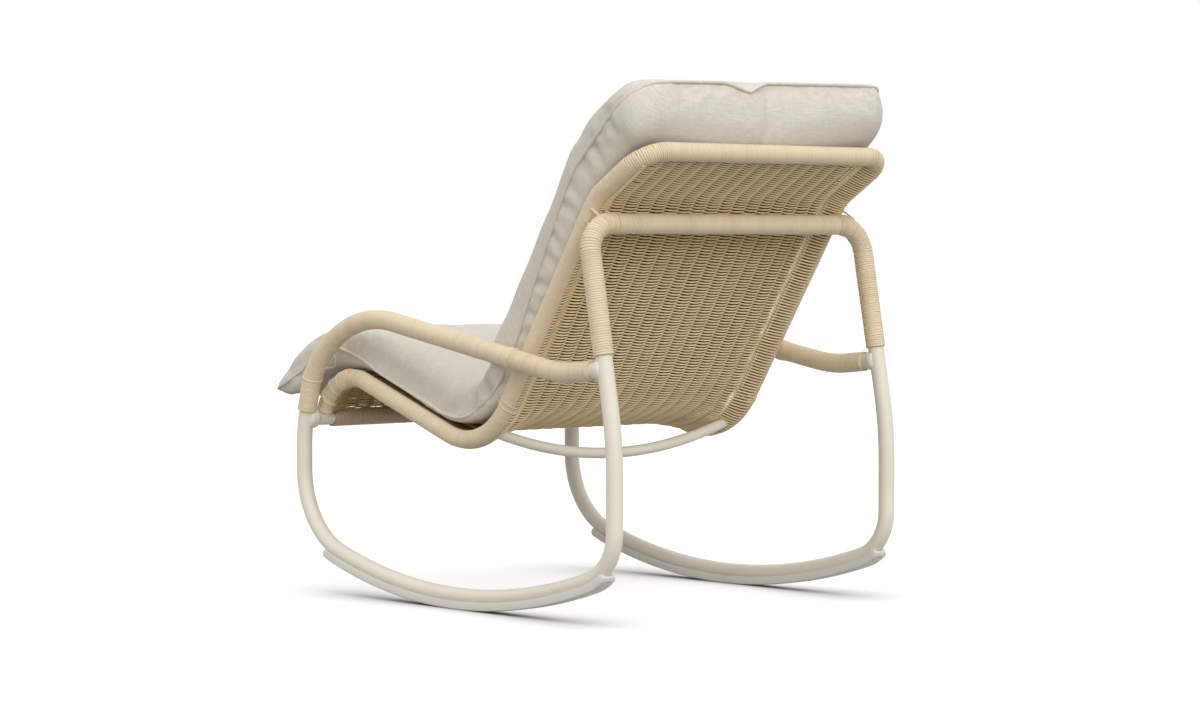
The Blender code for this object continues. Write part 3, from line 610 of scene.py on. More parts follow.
def drilled(obj, mouth, axis):
    """Cut a countersunk hole into a piece, from its mouth along an axis."""
    beside = np.cross(axis, ACROSS)
    spots = []
    for along, radius in SCREW_HOLE:
        for angle in np.linspace(0, 2 * math.pi, HOLE_SIDES, endpoint=False):
            out = ACROSS * math.cos(angle) + beside * math.sin(angle)
            spots.append(mouth + axis * along + radius * out)
    drill = new_mesh("drill", spots, tube_faces(len(SCREW_HOLE), HOLE_SIDES), GLIDE)
    for piece in (obj, drill):
        mesh = bmesh.new()
        mesh.from_mesh(piece.data)
        bmesh.ops.recalc_face_normals(mesh, faces=mesh.faces)
        mesh.to_mesh(piece.data)
        mesh.free()
    cut = obj.modifiers.new("hole", "BOOLEAN")
    cut.operation = "DIFFERENCE"
    cut.solver = "EXACT"
    cut.object = drill
    shape = bpy.data.meshes.new_from_object(obj.evaluated_get(bpy.context.evaluated_depsgraph_get()))
    obj.modifiers.remove(cut)
    obj.data = shape
    bpy.data.objects.remove(drill)


def glide_section(shrink):
    """Channel outline across the tube; a shrink of one draws the sole up to the tube at the ends."""
    inner = TUBE_R + CLEAR
    sole = inner + GLIDE_T * (1 - 0.55 * shrink)
    rim = inner - GLIDE_RIM * (1 - 0.4 * shrink)
    half = GLIDE_HALF - 0.0008 * shrink
    spread = math.acos(rim / inner)
    inside = [(inner * math.sin(a), inner * math.cos(a)) for a in np.linspace(-spread, spread, 15)]
    outside = [(half - 0.0004, rim - 0.0002), (half, rim + 0.0006)]
    for a in np.linspace(0, math.pi / 2, 6):
        x = half - GLIDE_CORNER + GLIDE_CORNER * math.cos(a)
        outside.append((x, sole - GLIDE_CORNER + GLIDE_CORNER * math.sin(a)))
    left = [(-x, away) for x, away in reversed(outside)]
    return np.array(inside + outside + left)


def sole_way(t):
    """The way down from the tube to the sole, square to the route."""
    down = np.cross(ACROSS, t)
    return down * np.where(down[..., 2:] < 0, 1, -1)


for side, sign in SIDES:
    route = Route(on_side(glide_route.p, sign))
    rows = []
    for s, p, down in zip(route.s, route.p, sole_way(route.t)):
        inset = min(s, route.length - s) - GLIDE_CUT
        if inset < 0:
            continue
        shrink = 1 - math.sqrt(1 - max(1 - inset / GLIDE_NOSE, 0.0) ** 2)
        section = glide_section(shrink)
        rows.append(p + section[:, :1] * ACROSS + section[:, 1:] * down)
    glide = new_mesh("glide_strip_" + side, np.concatenate(rows), tube_faces(len(rows), len(rows[0])), GLIDE)
    for along in (SCREW_INSET, route.length - SCREW_INSET):
        down = sole_way(route.at(along, "t"))
        drilled(glide, route.at(along) + down * (TUBE_R + CLEAR + GLIDE_T), -down)
    glide.data.set_sharp_from_angle(angle=math.radians(40))
    keep(glide, "glide_plastic", "glide_" + side)

# Wicker wound around the tubes

WRAP_GAP = 0.0002
ON_TUBE = (TUBE_R + WRAP_GAP, TUBE_WRAP_R)
ON_FRAME = (FRAME_R + WRAP_GAP, FRAME_WRAP_R)
AROUND = 20
# Places across one turn's width, and how high the strand stands there
ROW_PLACES = np.array((0.0, 0.13, 0.5, 0.87))
ROW_RISES = np.array((0.0, 0.80, 1.0, 0.80))
UNEVEN_PITCH = 0.16
# Curvature from which a bend opens the turns, and the rise in it that opens them fully, in 1/m
OPENS_FROM = 6.5
OPENS_OVER = 8.0
BEND_GROOVE = 0.0006
TURN_LIFT = 0.00010
BEND_LIFT = 0.00035


def wound(name, cad_node, points, stock, pitch, depth, seed, shade=0.0, under_weave_shade=0.0):
    """Sleeve of strand turns on a route: uneven pitch, deeper gaps on bends, flat ends on the tube.

    Painted shade darkens the grooves between turns, more on bends, and the bare ends; the shade argument
    paints shade over all of it, and the last argument paints shade on the inner half of the sides that the
    weave passes around.
    """
    bare_r, outer_r = stock
    route = Route(points, 0.003)
    rng = np.random.default_rng(seed)
    turns = int(route.length / pitch)
    widths = pitch * (1 + UNEVEN_PITCH * rng.uniform(-1, 1, turns))
    starts = np.concatenate(([0], np.cumsum(widths)))
    starts = starts * route.length / starts[-1]
    starts = np.concatenate(([starts[0] - pitch], starts, [starts[-1] + pitch]))
    bend = np.linalg.norm(np.gradient(route.t, route.s, axis=0), axis=1)
    bend = np.convolve(bend, np.ones(9) / 9, mode="same")
    tones = 0.5 + 0.35 * spread_noise(rng, len(starts), 6)
    tones = np.clip(tones + 0.22 * rng.uniform(-1, 1, len(starts)), 0, 1)
    lifts = rng.uniform(-1, 1, len(starts))
    k = np.repeat(np.arange(len(starts) - 1), len(ROW_PLACES))
    rise = np.tile(ROW_RISES, len(starts) - 1)[:, None]
    width = np.diff(starts)[k][:, None]
    turn = np.linspace(0, 1, AROUND, endpoint=False)[None, :]
    s = starts[k][:, None] + np.tile(ROW_PLACES, len(starts) - 1)[:, None] * width + turn * width
    outside = (s <= 0) | (s >= route.length)
    s = np.clip(s, 0, route.length)
    curl = np.clip((np.interp(s, route.s, bend) - OPENS_FROM) / OPENS_OVER, 0, 1)
    groove = depth + BEND_GROOVE * curl
    lift = lifts[k][:, None] * (TURN_LIFT + BEND_LIFT * curl)
    radius = np.where(outside, bare_r, outer_r - groove * (1 - rise) + lift * rise)
    angle = 2 * math.pi * turn
    normal = route.at(s, "n")
    binormal = route.at(s, "b")
    rim = normal * np.cos(angle)[..., None] + binormal * np.sin(angle)[..., None]
    verts = (route.at(s) + rim * radius[..., None]).reshape(-1, 3)
    # Painted shade in the grooves between turns, more where a bend opens them.
    gap = np.where(rise < 0.4, np.clip(0.35 + 0.5 * curl + depth / 0.0012, 0, 1), 0.0) * np.ones_like(s)
    # Painted shade on the inner half of the frame's sides, where the weave passes around them.
    middle = route.at(s)[..., 0]
    inward = -np.sign(middle) * rim[..., 0] * (np.abs(middle) > FRAME_X - 0.01)
    shade = np.maximum(shade, under_weave_shade * eased((inward + 0.05) / 0.5))
    # Full painted shade where the wrap ends on the bare tube.
    gap = np.where(outside, 1.0, np.maximum(gap, shade))
    tone = tones[k][:, None] * np.ones_like(s)
    faces = []
    last_row = (len(k) - 1) * AROUND
    for row in range(0, last_row, AROUND):
        faces += [(a, a + 1, a + 1 + AROUND, a + AROUND) for a in range(row, row + AROUND - 1)]
        end = row + AROUND - 1
        after = row + len(ROW_PLACES) * AROUND
        if after < last_row:
            faces.append((end, after, after + AROUND, end + AROUND))
    verts, faces, values = welded(verts, faces, {"tone": tone.reshape(-1), "gap": gap.reshape(-1)})
    keep(new_mesh(name, verts, faces, WOUND, **values), "wicker", cad_node)


POST_BARE = 0.002
# Width of a turn and depth of the groove between two, for each winding
ARM_TURNS = (0.0032, 0.00018)
LEG_TURNS = (0.0040, 0.00055)
RAIL_TURNS = (0.0032, 0.00016)
FRAME_SIDE_TURNS = (0.0033, 0.00020)
FRONT_TURNS = (0.0046, 0.00045)
post_wrap_at = hoop_route.where(hoop_route.p[:, 2] - FRONT_RAIL_Z - FRAME_R - POST_BARE)
arm_part = hoop_route.part(TUBE_R + ARM_BARE, post_wrap_at)
leg_part = hoop_route.part(leg_wrap_at, hoop_route.length - CLEAR)
for seed, (side, sign) in enumerate(SIDES):
    arm = on_side(arm_part.p, sign)
    wound("arm_strand_" + side, "arm_wrap_" + side, arm, ON_TUBE, *ARM_TURNS, 11 + seed)
    leg = on_side(leg_part.p, sign)
    wound("leg_strand_" + side, "leg_wrap_" + side, leg, ON_TUBE, *LEG_TURNS, 21 + seed)
rail_ends = straight(CROSS_RAIL, HOOP_X - RAIL_BEND_R - RAIL_STUB - CLEAR)
wound("rail_strand", "rail_wrap", rail_ends, ON_TUBE, *RAIL_TURNS, 31)
wrap_start = FRAME_R + 2 * CLEAR
frame_part = frame_route.part(wrap_start, frame_route.length - wrap_start)
# The frame's wrap gets painted shade where the weave passes around it.
wound("frame_strand", "frame_wrap", frame_part.p, ON_FRAME, *FRAME_SIDE_TURNS, 41, under_weave_shade=0.85)
front_ends = straight(RAIL_POINT, FRAME_X - FRAME_WRAP_R - CLEAR)
# The front rail's wrap carries painted shade all over.
wound("front_strand", "front_wrap", front_ends, ON_FRAME, *FRONT_TURNS, 51, shade=0.46)

# End rings and lashings

LASH_R = 0.0011
LASH_SEAT = TUBE_WRAP_R + 0.2 * LASH_R
STAR_SLANT = 1.06
STAR_SPREAD = 1.1 * LASH_R
LOOSE_R = 0.0013
LOOSE_RISE = 0.0003
POST_RING_Z = 0.380
POST_RING_LEAN = 0.0022
POST_RING_R = 0.0012
# Distance between turns and number of turns
ARM_COIL = (0.0025, 5)
RAIL_COIL = (0.0040, 4)
RING_POINTS = 49
RING_LEANS = 0.4 * TUBE_R
RING_APART = 0.0012
RING_RISE = 0.0014
# Lean of each end ring of an arm, and its place along the tube
END_RINGS = ((0.10, 0.0), (-0.16, 0.0022))
# Loose turns on each side of the frame: place along it, lean and the way of the lean
FRAME_TURNS = (
    (0.036, 0.0040, 0.4), (0.041, 0.0050, 0.9), (0.066, 0.0045, 0.2), (0.094, 0.0030, 2.6),
    (0.108, 0.0055, 2.9), (0.113, 0.0035, 2.2), (0.578, 0.0030, 1.0), (0.586, 0.0045, 0.4),
)


def strand(points, radius):
    return sweep(Route(points, 0.0016), radius, 10)


def toned(name, pieces, look, seed, shade=0.0):
    """One piece from several strands, each with its own tone, all with the same amount of painted shade."""
    rng = np.random.default_rng(seed)
    verts, faces = join(*pieces)
    tone = np.concatenate([np.full(len(p[0]), rng.uniform(0.25, 0.9)) for p in pieces])
    return new_mesh(name, verts, faces, look, tone=tone, gap=np.full(len(verts), shade))


def around(route, s, angles, radius):
    """Points at these distances along a route and at these angles around it."""
    rim = route.at(s, "n") * np.cos(angles)[:, None] + route.at(s, "b") * np.sin(angles)[:, None]
    return route.at(s) + rim * radius


def coil(route, at, radius, pitch, turns):
    angles = np.linspace(0, 2 * math.pi * turns, 28 * turns + 1)
    return around(route, at + (angles / (2 * math.pi) - turns / 2) * pitch, angles, radius)


def tilted_ring(route, at, radius, tilt, phase=0.0):
    """One loose turn around a route, leaning along it by tilt."""
    angles = np.linspace(0, 2 * math.pi, RING_POINTS)
    return around(route, at + tilt * np.cos(angles + phase), angles, radius)


arm_outline = np.stack([arm_part.p[:, 1] - SHIFT[1], arm_part.p[:, 2]], axis=1)
cross_at = arm_part.where(np.cross(arm_outline - SEAT_LOW, BACK_WAY))
lash_at = hoop_route.length - hoop_from_rail.where(hoop_from_rail.p[:, 0] - FRAME_X)


def star_lash(sign):
    """Crossed strands over the rear bend and down to the frame behind it, two each way."""
    rear = np.array((0.0, *BACK_REAR))
    on_frame = placed(CROSS_RAIL - BACK_REAR * LASHED, sign * FRAME_X)
    on_bend = on_frame + rear * LASHED
    for lean in (1.0, -1.0):
        across = unit(ACROSS + lean * np.array((0.0, *BACK_WAY)))
        aside = np.cross(rear, across)
        for offset in (-STAR_SPREAD, STAR_SPREAD):
            line = []
            for middle, radius, turn in (
                (on_frame, FRAME_WRAP_R, np.linspace(-125, -95, 6)),
                (on_bend, TUBE_WRAP_R + 0.3 * LASH_R, np.linspace(-90, 90, 25)),
                (on_frame, FRAME_WRAP_R, np.linspace(95, 125, 6)),
            ):
                for angle in np.radians(turn):
                    reach = rear * radius * math.cos(angle) + across * STAR_SLANT * radius * math.sin(angle)
                    line.append(middle + aside * offset + reach)
            yield line


def end_ring(route, tilt, along):
    """One turn on the tube's bare end, beside the wrap; a backward lean stands off a little."""
    ring = []
    for angle in np.linspace(0, 2 * math.pi, RING_POINTS):
        here = route.at(along + tilt * math.cos(angle) * RING_LEANS) - route.t[0] * RING_APART * (tilt < 0)
        out = route.n[0] * math.cos(angle) + route.b[0] * math.sin(angle)
        ring.append(here + out * (TUBE_R + RING_RISE))
    return ring


for seed, (side, sign) in enumerate(SIDES):
    arm_route = Route(on_side(arm_part.p, sign), 0.002)
    wraps = [strand(coil(arm_route, cross_at, LASH_SEAT, *ARM_COIL), LASH_R)]
    keep(toned("arm_lashing_" + side, wraps, WOUND, 61 + seed), "wicker", "lash_arm_" + side)
    leg_route = Route(on_side(hoop_line, sign), 0.002)
    wraps = [strand(coil(leg_route, lash_at, LASH_SEAT, *RAIL_COIL), LASH_R)]
    wraps += [strand(points, LASH_R) for points in star_lash(sign)]
    keep(toned("rail_lashing_" + side, wraps, WOUND, 71 + seed), "wicker", "lash_rail_" + side)
    loops = [strand(end_ring(arm_route, tilt, along), LOOSE_R) for tilt, along in END_RINGS]
    keep(toned("arm_end_ring_" + side, loops, WOUND, 81 + seed), "wicker", "arm_ring_" + side)
    post_ring_at = arm_part.where(arm_part.p[:, 2] - POST_RING_Z)
    post_ring = tilted_ring(arm_route, post_ring_at, TUBE_WRAP_R + LOOSE_RISE, POST_RING_LEAN)
    turns = [strand(post_ring, POST_RING_R)]
    side_frame = Route(on_side(side_line, sign), 0.002)
    for at, tilt, phase in FRAME_TURNS:
        turns.append(strand(tilted_ring(side_frame, at, FRAME_WRAP_R + LOOSE_RISE, tilt, phase), LOOSE_R))
    keep(toned("loose_turns_" + side, turns, WOUND, 85 + seed), "wicker")

# Woven seat and back: strands across, alternately over and under stakes along the length

WEAVE_STEP = 0.002
WEAVE_FROM = 0.006
WEAVE_SHORT = 0.004
ROWS_INSET = 0.012
STAKES = 16
STAKE_PITCH = 0.0313
STAKE_R = 0.0013
STAKE_INSET = 0.004
STAKE_POINTS = 260
LAST_STAKE = (STAKES - 1) / 2 * STAKE_PITCH
WEAVE_PIECES = 4
STRAND_PITCH = 0.00287
STRAND_HALF = 0.00128
STRAND_THICK = 0.00130
STRAND_SIDES = 6
STRAND_POINTS = 115
STRAND_REACH = FRAME_X - 0.003
# A strand widens midway between two stakes, at the frame's edge and, in patches, on the front rise
STRAND_SPREAD = 0.00028
EDGE_SPREAD = 0.00014
FRONT_SPREAD = 0.00066
FRONT_PATCHES = 0.40
FRONT_OPEN = 0.0125
FRONT_CLOSING = 0.006
FRONT_UNTIL = 0.09
FRONT_FADE = 0.06
CROSSING = 0.7
WEAVE_DEPTH = 0.0034
WEAVE_LOWER = 0.0012
EDGE_REAR = 0.0149
EDGE_FRONT = 0.0132
# Slow waves of the strands along the weave: size, and steps across and along it
RIPPLES = ((0.0007, 31, 23), (0.0005, 67, -41))
WANDER = 0.00022
WANDER_PLACES = np.linspace(-0.3, 0.3, 13)
# Painted shade: the most on a strand where it passes behind, and the extra on the front rise.
PAINTED_SHADE_MOST = 0.94
FRONT_RISE_SHADE = 0.65
# Share of the strands that stand apart beside the last stake, how far, and over what length
OPENED_SHARE = 0.12
OPENED_BY = 0.0011
OPENED_OVER = 0.008
middle_line = Route([p * np.array((0, 1, 1)) for p in side_line], WEAVE_STEP)
panel_route = middle_line.part(WEAVE_FROM, side_route.length - WEAVE_SHORT, WEAVE_STEP)
bend_mark = panel_route.nearest(placed(SEAT_LOW))


def panel_place(s, x):
    """Points of the weave's middle surface, with the ways to the sitter's side and along the weave."""
    share = np.clip(np.abs(x) / (FRAME_X - FRAME_WRAP_R), 0, 1)
    pull = PANEL_PULL * eased(1 - np.abs(s - bend_mark) / PANEL_PULL_REACH) * eased((1 - share) / 0.4)
    t = panel_route.at(s, "t")
    up = np.stack([np.zeros_like(s), -t[..., 2], t[..., 1]], axis=-1)
    place = panel_route.at(s) + up * (pull - WEAVE_LOWER)[..., None] + x[..., None] * ACROSS
    return place, up, t


def strand_rows(places, seed):
    """Cross strands at these places along the weave: over and under the stakes, then around the frame."""
    rng = np.random.default_rng(seed)
    xs = np.linspace(-STRAND_REACH, STRAND_REACH, STRAND_POINTS)
    inner = np.clip(xs, -LAST_STAKE, LAST_STAKE)
    wave = np.sin(math.pi * inner / STAKE_PITCH)
    wave = np.sign(wave) * np.abs(wave) ** CROSSING
    to_frame = (1 - np.cos(math.pi * (np.abs(xs) - np.abs(inner)) / (FRAME_X - LAST_STAKE))) / 2
    angles = np.linspace(0, 2 * math.pi, STRAND_SIDES, endpoint=False) + math.pi / STRAND_SIDES
    verts = []
    tones = []
    gaps = []
    for index, s0 in places:
        side = 1 if index % 2 == 0 else -1
        ripple = sum(size * np.sin(xs * a + s0 * b) for size, a, b in RIPPLES)
        wander = WANDER * np.interp(xs, WANDER_PLACES, rng.uniform(-1, 1, len(WANDER_PLACES)))
        opened = OPENED_BY * rng.choice((-1, 1)) * (rng.uniform() < OPENED_SHARE)
        hole = opened * np.exp(-((np.abs(xs) - LAST_STAKE - OPENED_OVER / 2) / OPENED_OVER) ** 2)
        at_front = 1 - float(eased((s0 - FRONT_UNTIL) / FRONT_FADE))
        depth = WEAVE_DEPTH * (1 - 0.5 * at_front)
        edge_depth = np.where(side * wave > 0, EDGE_REAR, EDGE_FRONT)
        height = side * wave * (depth * (1 - to_frame) - edge_depth * to_frame)
        place, up, t = panel_place(s0 + ripple + wander + hole, xs)
        place = place + up * height[:, None]
        slope = np.gradient(place, axis=0)
        slope = slope / np.linalg.norm(slope, axis=1)[:, None]
        thick = np.cross(t, slope)
        patches = FRONT_PATCHES * np.sin(xs * 130 + index * 2.1)
        closed = FRONT_SPREAD * at_front * eased((s0 - FRONT_OPEN) / FRONT_CLOSING + patches)
        closed = closed + EDGE_SPREAD * (np.abs(xs) > LAST_STAKE - 0.006)
        half = STRAND_HALF + STRAND_SPREAD * wave ** 2 * (1 - 0.8 * to_frame) + closed
        rim = t[:, None] * (np.cos(angles)[None, :] * half[:, None])[..., None]
        rim = rim + thick[:, None] * (np.sin(angles) * STRAND_THICK)[None, :, None]
        verts.append((place[:, None] + rim).reshape(-1, 3))
        tones.append(np.full(STRAND_POINTS * STRAND_SIDES, rng.uniform(0.2, 0.95)))
        # Painted shade: strands darker where they pass behind the stakes, and darker all over on the front
        # rise.
        behind = eased((height / depth + 0.45) / 1.45)
        gaps.append(np.repeat(np.clip(PAINTED_SHADE_MOST * behind + FRONT_RISE_SHADE * at_front, 0, PAINTED_SHADE_MOST), STRAND_SIDES))
    one = tube_faces(STRAND_POINTS, STRAND_SIDES)
    verts, faces = join(*((points, one) for points in verts))
    return verts, faces, np.concatenate(tones), np.concatenate(gaps)


all_rows = list(enumerate(np.arange(ROWS_INSET, panel_route.length - ROWS_INSET, STRAND_PITCH)))
per_piece = math.ceil(len(all_rows) / WEAVE_PIECES)
for part in range(WEAVE_PIECES):
    verts, faces, tone, gap = strand_rows(all_rows[part * per_piece:(part + 1) * per_piece], 91 + part)
    weave = new_mesh("weave_rows_" + str(part + 1), verts, faces, WOVEN, tone=tone, gap=gap)
    keep(weave, "wicker", "woven_panel")
stakes = []
for k in range(STAKES):
    x = (k - (STAKES - 1) / 2) * STAKE_PITCH
    s = np.linspace(STAKE_INSET, panel_route.length - STAKE_INSET, STAKE_POINTS)
    place, _, _ = panel_place(s, np.full_like(s, x))
    stakes.append(sweep(Route(place, 0.005), STAKE_R, STRAND_SIDES))
# The stakes carry painted shade all over.
keep(toned("weave_stakes", stakes, WOVEN, 99, 0.85), "wicker")

# Cushion: two panels sewn along a seam on its sides, filled and laid over seat, back and head

CUSHION_T = 0.072
CUSHION_HALF = 0.292
CORNER_R = 0.036
TIP_CORNERS = (0.030, 0.030)
HEAD_CORNERS = (0.066, 0.030)
HEAD_SKEW = 0.015
TIP_TRIM = 0.009
ROLL_R = 0.024
EDGE_R = 0.018
SLACK = 0.003
SEAM_TUCK = 0.0016
SEAM_EASE = 0.130
FOLD_AHEAD = 0.026
DROOP = 36.5
DROOP_LENGTH = 0.214
CREST_LEAN = 50.0
CREST_LENGTH = 0.203
CUSHION_BENDS = (0.285, 0.125, 0.140)
FRAME_ROOM = 0.01624
SAG_MOST = 0.016
SAG_POINTS = 120
DRAW_IN = 0.008
BACK_SWELL = 0.021
TIP_FALL = 0.022
TIP_REACH = 0.150
raise_by = FRAME_ROOM + CLEAR + CUSHION_T / 2
seat_way = unit(SEAT_LOW - RISE_TOP)
seat_up = np.array((-seat_way[1], seat_way[0]))
seat_line = RISE_TOP + seat_up * raise_by
back_line = BACK_KINK - BACK_REAR * raise_by
fold = seat_line - seat_way * FOLD_AHEAD
cross = np.cross(back_line - seat_line, BACK_WAY) / np.cross(seat_way, BACK_WAY)
elbow = seat_line + seat_way * cross
tip = fold - heading(DROOP) * DROOP_LENGTH
crest = back_line + heading(90.0 - CREST_LEAN) * CREST_LENGTH
cushion_line = bent(flat([tip, fold, elbow, back_line, crest], 0.0), CUSHION_BENDS)
cushion_route = Route(shifted(cushion_line))
cushion_run = cushion_route.length
fold_at, elbow_at, head_at = (cushion_route.nearest(placed(p)) for p in (fold, elbow, back_line))
# The seam's height above the middle line at places along the cushion
seam_marks, seam_heights = zip(
    (0.0, 0.012), (0.045, -0.003), (0.106, -0.0115), (0.140, 0.003), (0.180, 0.016),
    (fold_at + 0.034, -0.004), (fold_at + SEAM_EASE, -0.025),
    (elbow_at - 0.033, -0.027), (elbow_at + 0.013, -0.014), (elbow_at + 0.146, -0.010),
    (elbow_at + 0.246, 0.004), (head_at - 0.062, 0.020), (cushion_run, 0.033),
)
seam_fine = np.linspace(0, cushion_run, 200)
seam_soft = np.pad(np.interp(seam_fine, seam_marks, seam_heights), 3, mode="edge")
seam_soft = np.convolve(seam_soft, np.ones(7) / 7, mode="valid")
weave_points = panel_place(panel_route.s, np.zeros_like(panel_route.s))[0]


def rounded(half, radius, inset):
    """Half size of an outline with a rounded corner, this far in from its end."""
    inset = min(inset, radius)
    return half - radius + math.sqrt(max(radius ** 2 - (radius - inset) ** 2, 0.0))


def seam_height(s):
    return float(np.interp(s, seam_fine, seam_soft))


def cushion_top(s):
    """Height of the upper panel above the middle line: fuller on the back, lower at the tip."""
    fuller = BACK_SWELL * eased((s - elbow_at) / SEAM_EASE)
    return CUSHION_T / 2 + fuller - TIP_FALL * eased(1 - s / TIP_REACH)


def cushion_place(s, x, height):
    """Points along the cushion, across it and above its middle line; its head lies a little askew."""
    x = np.ravel(x)
    height = np.ravel(height)
    askew = HEAD_SKEW * eased((s - head_at) / (cushion_run - head_at))
    far = s + askew * (CUSHION_HALF - x) / (2 * CUSHION_HALF)
    kept = np.clip(far, 0.0, cushion_run)
    t = cushion_route.at(kept, "t")
    up = np.stack([np.zeros_like(kept), -t[:, 2], t[:, 1]], axis=1)
    here = cushion_route.at(kept) + t * (far - kept)[:, None]
    return here + x[:, None] * ACROSS + height[:, None] * up


def room_below(s):
    """Room between the cushion's flat underside and the weave or the top rail."""
    under = cushion_place(s, 0.0, -CUSHION_T / 2)[0]
    to_weave = np.linalg.norm(weave_points - under, axis=1).min() - 2 * STAKE_R
    to_rail = np.linalg.norm(under - placed(HEAD_TOP)) - FRAME_WRAP_R
    return min(to_weave, to_rail) - CLEAR


sag_marks = np.linspace(0, cushion_run, SAG_POINTS)
sag_room = np.array([room_below(s) for s in sag_marks])
sag_depth = [min(sag_room[max(k - 3, 0):k + 4].min(), SAG_MOST) for k in range(SAG_POINTS)]


def from_end(s):
    """Distance to the nearer end of the cushion as it lies."""
    return max(min(s - TIP_TRIM, cushion_run - s), 0.0)


def half_width(s, corner=CORNER_R):
    share = 2 * s / cushion_run - 1
    return rounded(CUSHION_HALF - DRAW_IN * (1 - share ** 4), corner, from_end(s))


def bullnose(inset, reach):
    """From nothing at an end to one at this distance from it, along a quarter round."""
    share = min(max(inset / reach, 0.0), 1.0)
    return math.sqrt(1 - (1 - share) ** 2)


QUARTER = np.linspace(0, math.pi / 2, 12)
FLAT_POINTS = 12
SIDE_POINTS = 9
END_FACE = 0.16
END_SWELL = 0.060
TOP_ROUND = 0.032
SOFT_ENDS = 0.150
HEAD_ROUND = 0.062
HEAD_PUFF = 0.011
PUFF_AT = 0.060
PUFF_HALF = 0.085
HEAD_CROWN = 0.006
TIP_TAPER = 0.058
TIP_SOFTER = 0.4
SEAT_CROWN = 0.001
SEAM_ROOM = 0.003
# How far the ends round the lower edge, up its side and, on the left and the right, across
END_EDGE = 0.045
END_EDGE_ACROSS = (0.050, 0.085)
# Distances of points from the seam and from the middle of a panel
NEAR_SEAM = [0.0, 0.004, 0.009, 0.015, 0.022, 0.030, 0.039, 0.049]
NEAR_MIDDLE = [0.016, 0.007, 0.0025]
BROAD_COUNT = 19
ACROSS_FIT = 0.2
PANEL_COUNT = 2 * (len(NEAR_SEAM) + BROAD_COUNT + len(NEAR_MIDDLE))


def across_panel(points):
    """A panel outline's points at set distances, closer together at its seams and in its middle."""
    points = np.array(points)
    run = distances(points)
    half = run[-1] / 2
    fit = min(1.0, half / ACROSS_FIT)
    near = [d * fit for d in NEAR_SEAM]
    middle = [half - d * fit for d in NEAR_MIDDLE]
    broad = list(np.linspace(near[-1], middle[0], BROAD_COUNT + 2)[1:-1])
    left = near + broad + middle
    at = np.array(left + [half] + [run[-1] - d for d in reversed(left)])
    return np.stack([np.interp(at, run, points[:, k]) for k in range(2)], axis=1), at - half


def half_section(s, left):
    """One side of the cushion: its upper and its lower outline, each from the seam to the middle."""
    inset = from_end(s)
    swell = float(eased(inset / END_SWELL))
    at_head = s > cushion_run / 2
    hand = 0 if left else 1
    corner = (HEAD_CORNERS if at_head else TIP_CORNERS)[hand]
    seam = seam_height(s)
    half = half_width(s, max(corner, CORNER_R))
    seam_half = half_width(s, corner)
    full_top = cushion_top(s) - SLACK + HEAD_PUFF * math.exp(-((s - head_at - PUFF_AT) / PUFF_HALF) ** 2)
    full_top = max(full_top, seam + 2 * SEAM_ROOM)
    taper = bullnose(inset, HEAD_ROUND) if at_head else min(inset / TIP_TAPER, 1.0) ** 0.8
    end_part = END_FACE + (1 - END_FACE) * taper
    top = seam + SEAM_ROOM + (full_top - seam - SEAM_ROOM) * bullnose(inset, TOP_ROUND)
    low = -seam + (CUSHION_T / 2 + seam) * end_part
    roll = min(ROLL_R, (top - seam) * 0.9)
    near_end = (1 - bullnose(inset, SOFT_ENDS)) * (1.0 if at_head else TIP_SOFTER)
    edge = min(EDGE_R + END_EDGE * near_end, (seam + low) * 0.92)
    edge_across = EDGE_R + END_EDGE_ACROSS[hand] * near_end
    seam = min(max(seam, -low + edge * 0.4), top - roll * 0.3)
    side = [(half, z) for z in np.linspace(-low + edge, top - roll, SIDE_POINTS)]
    above = [(half - roll + roll * math.cos(a), top - roll + roll * math.sin(a)) for a in QUARTER]
    below = [
        (half - edge_across + edge_across * math.cos(a), -low + edge - edge * math.sin(a)) for a in QUARTER
    ]
    outline = np.array(below[::-1] + side[1:-1] + above)
    seam_x = float(np.interp(seam, outline[:, 1], outline[:, 0])) - half + seam_half - SEAM_TUCK
    upper = [(seam_x, seam)] + [tuple(p) for p in outline if p[1] > seam + SEAM_ROOM]
    plateau = half - roll
    crown = (HEAD_CROWN if at_head else SEAT_CROWN) * swell
    for x in np.linspace(plateau, 0, FLAT_POINTS)[1:]:
        upper.append((x, top + crown * (1 - (x / plateau) ** 2)))
    lower = [(seam_x, seam)] + [tuple(p) for p in outline[::-1] if p[1] < seam - SEAM_ROOM]
    sag = float(np.interp(s, sag_marks, sag_depth)) * swell
    bottom = half - edge_across
    for x in np.linspace(bottom, 0, FLAT_POINTS)[1:]:
        lower.append((x, -low - sag * (1 - (x / bottom) ** 2)))
    return upper, lower


def cushion_section(s):
    """Upper panel from the right seam to the left, and lower panel the same way, as points across."""
    left, right = (half_section(s, is_left) for is_left in (True, False))
    whole = []
    for left_half, right_half in zip(left, right):
        whole.append(across_panel([(-x, z) for x, z in right_half] + left_half[::-1][1:]))
    return whole


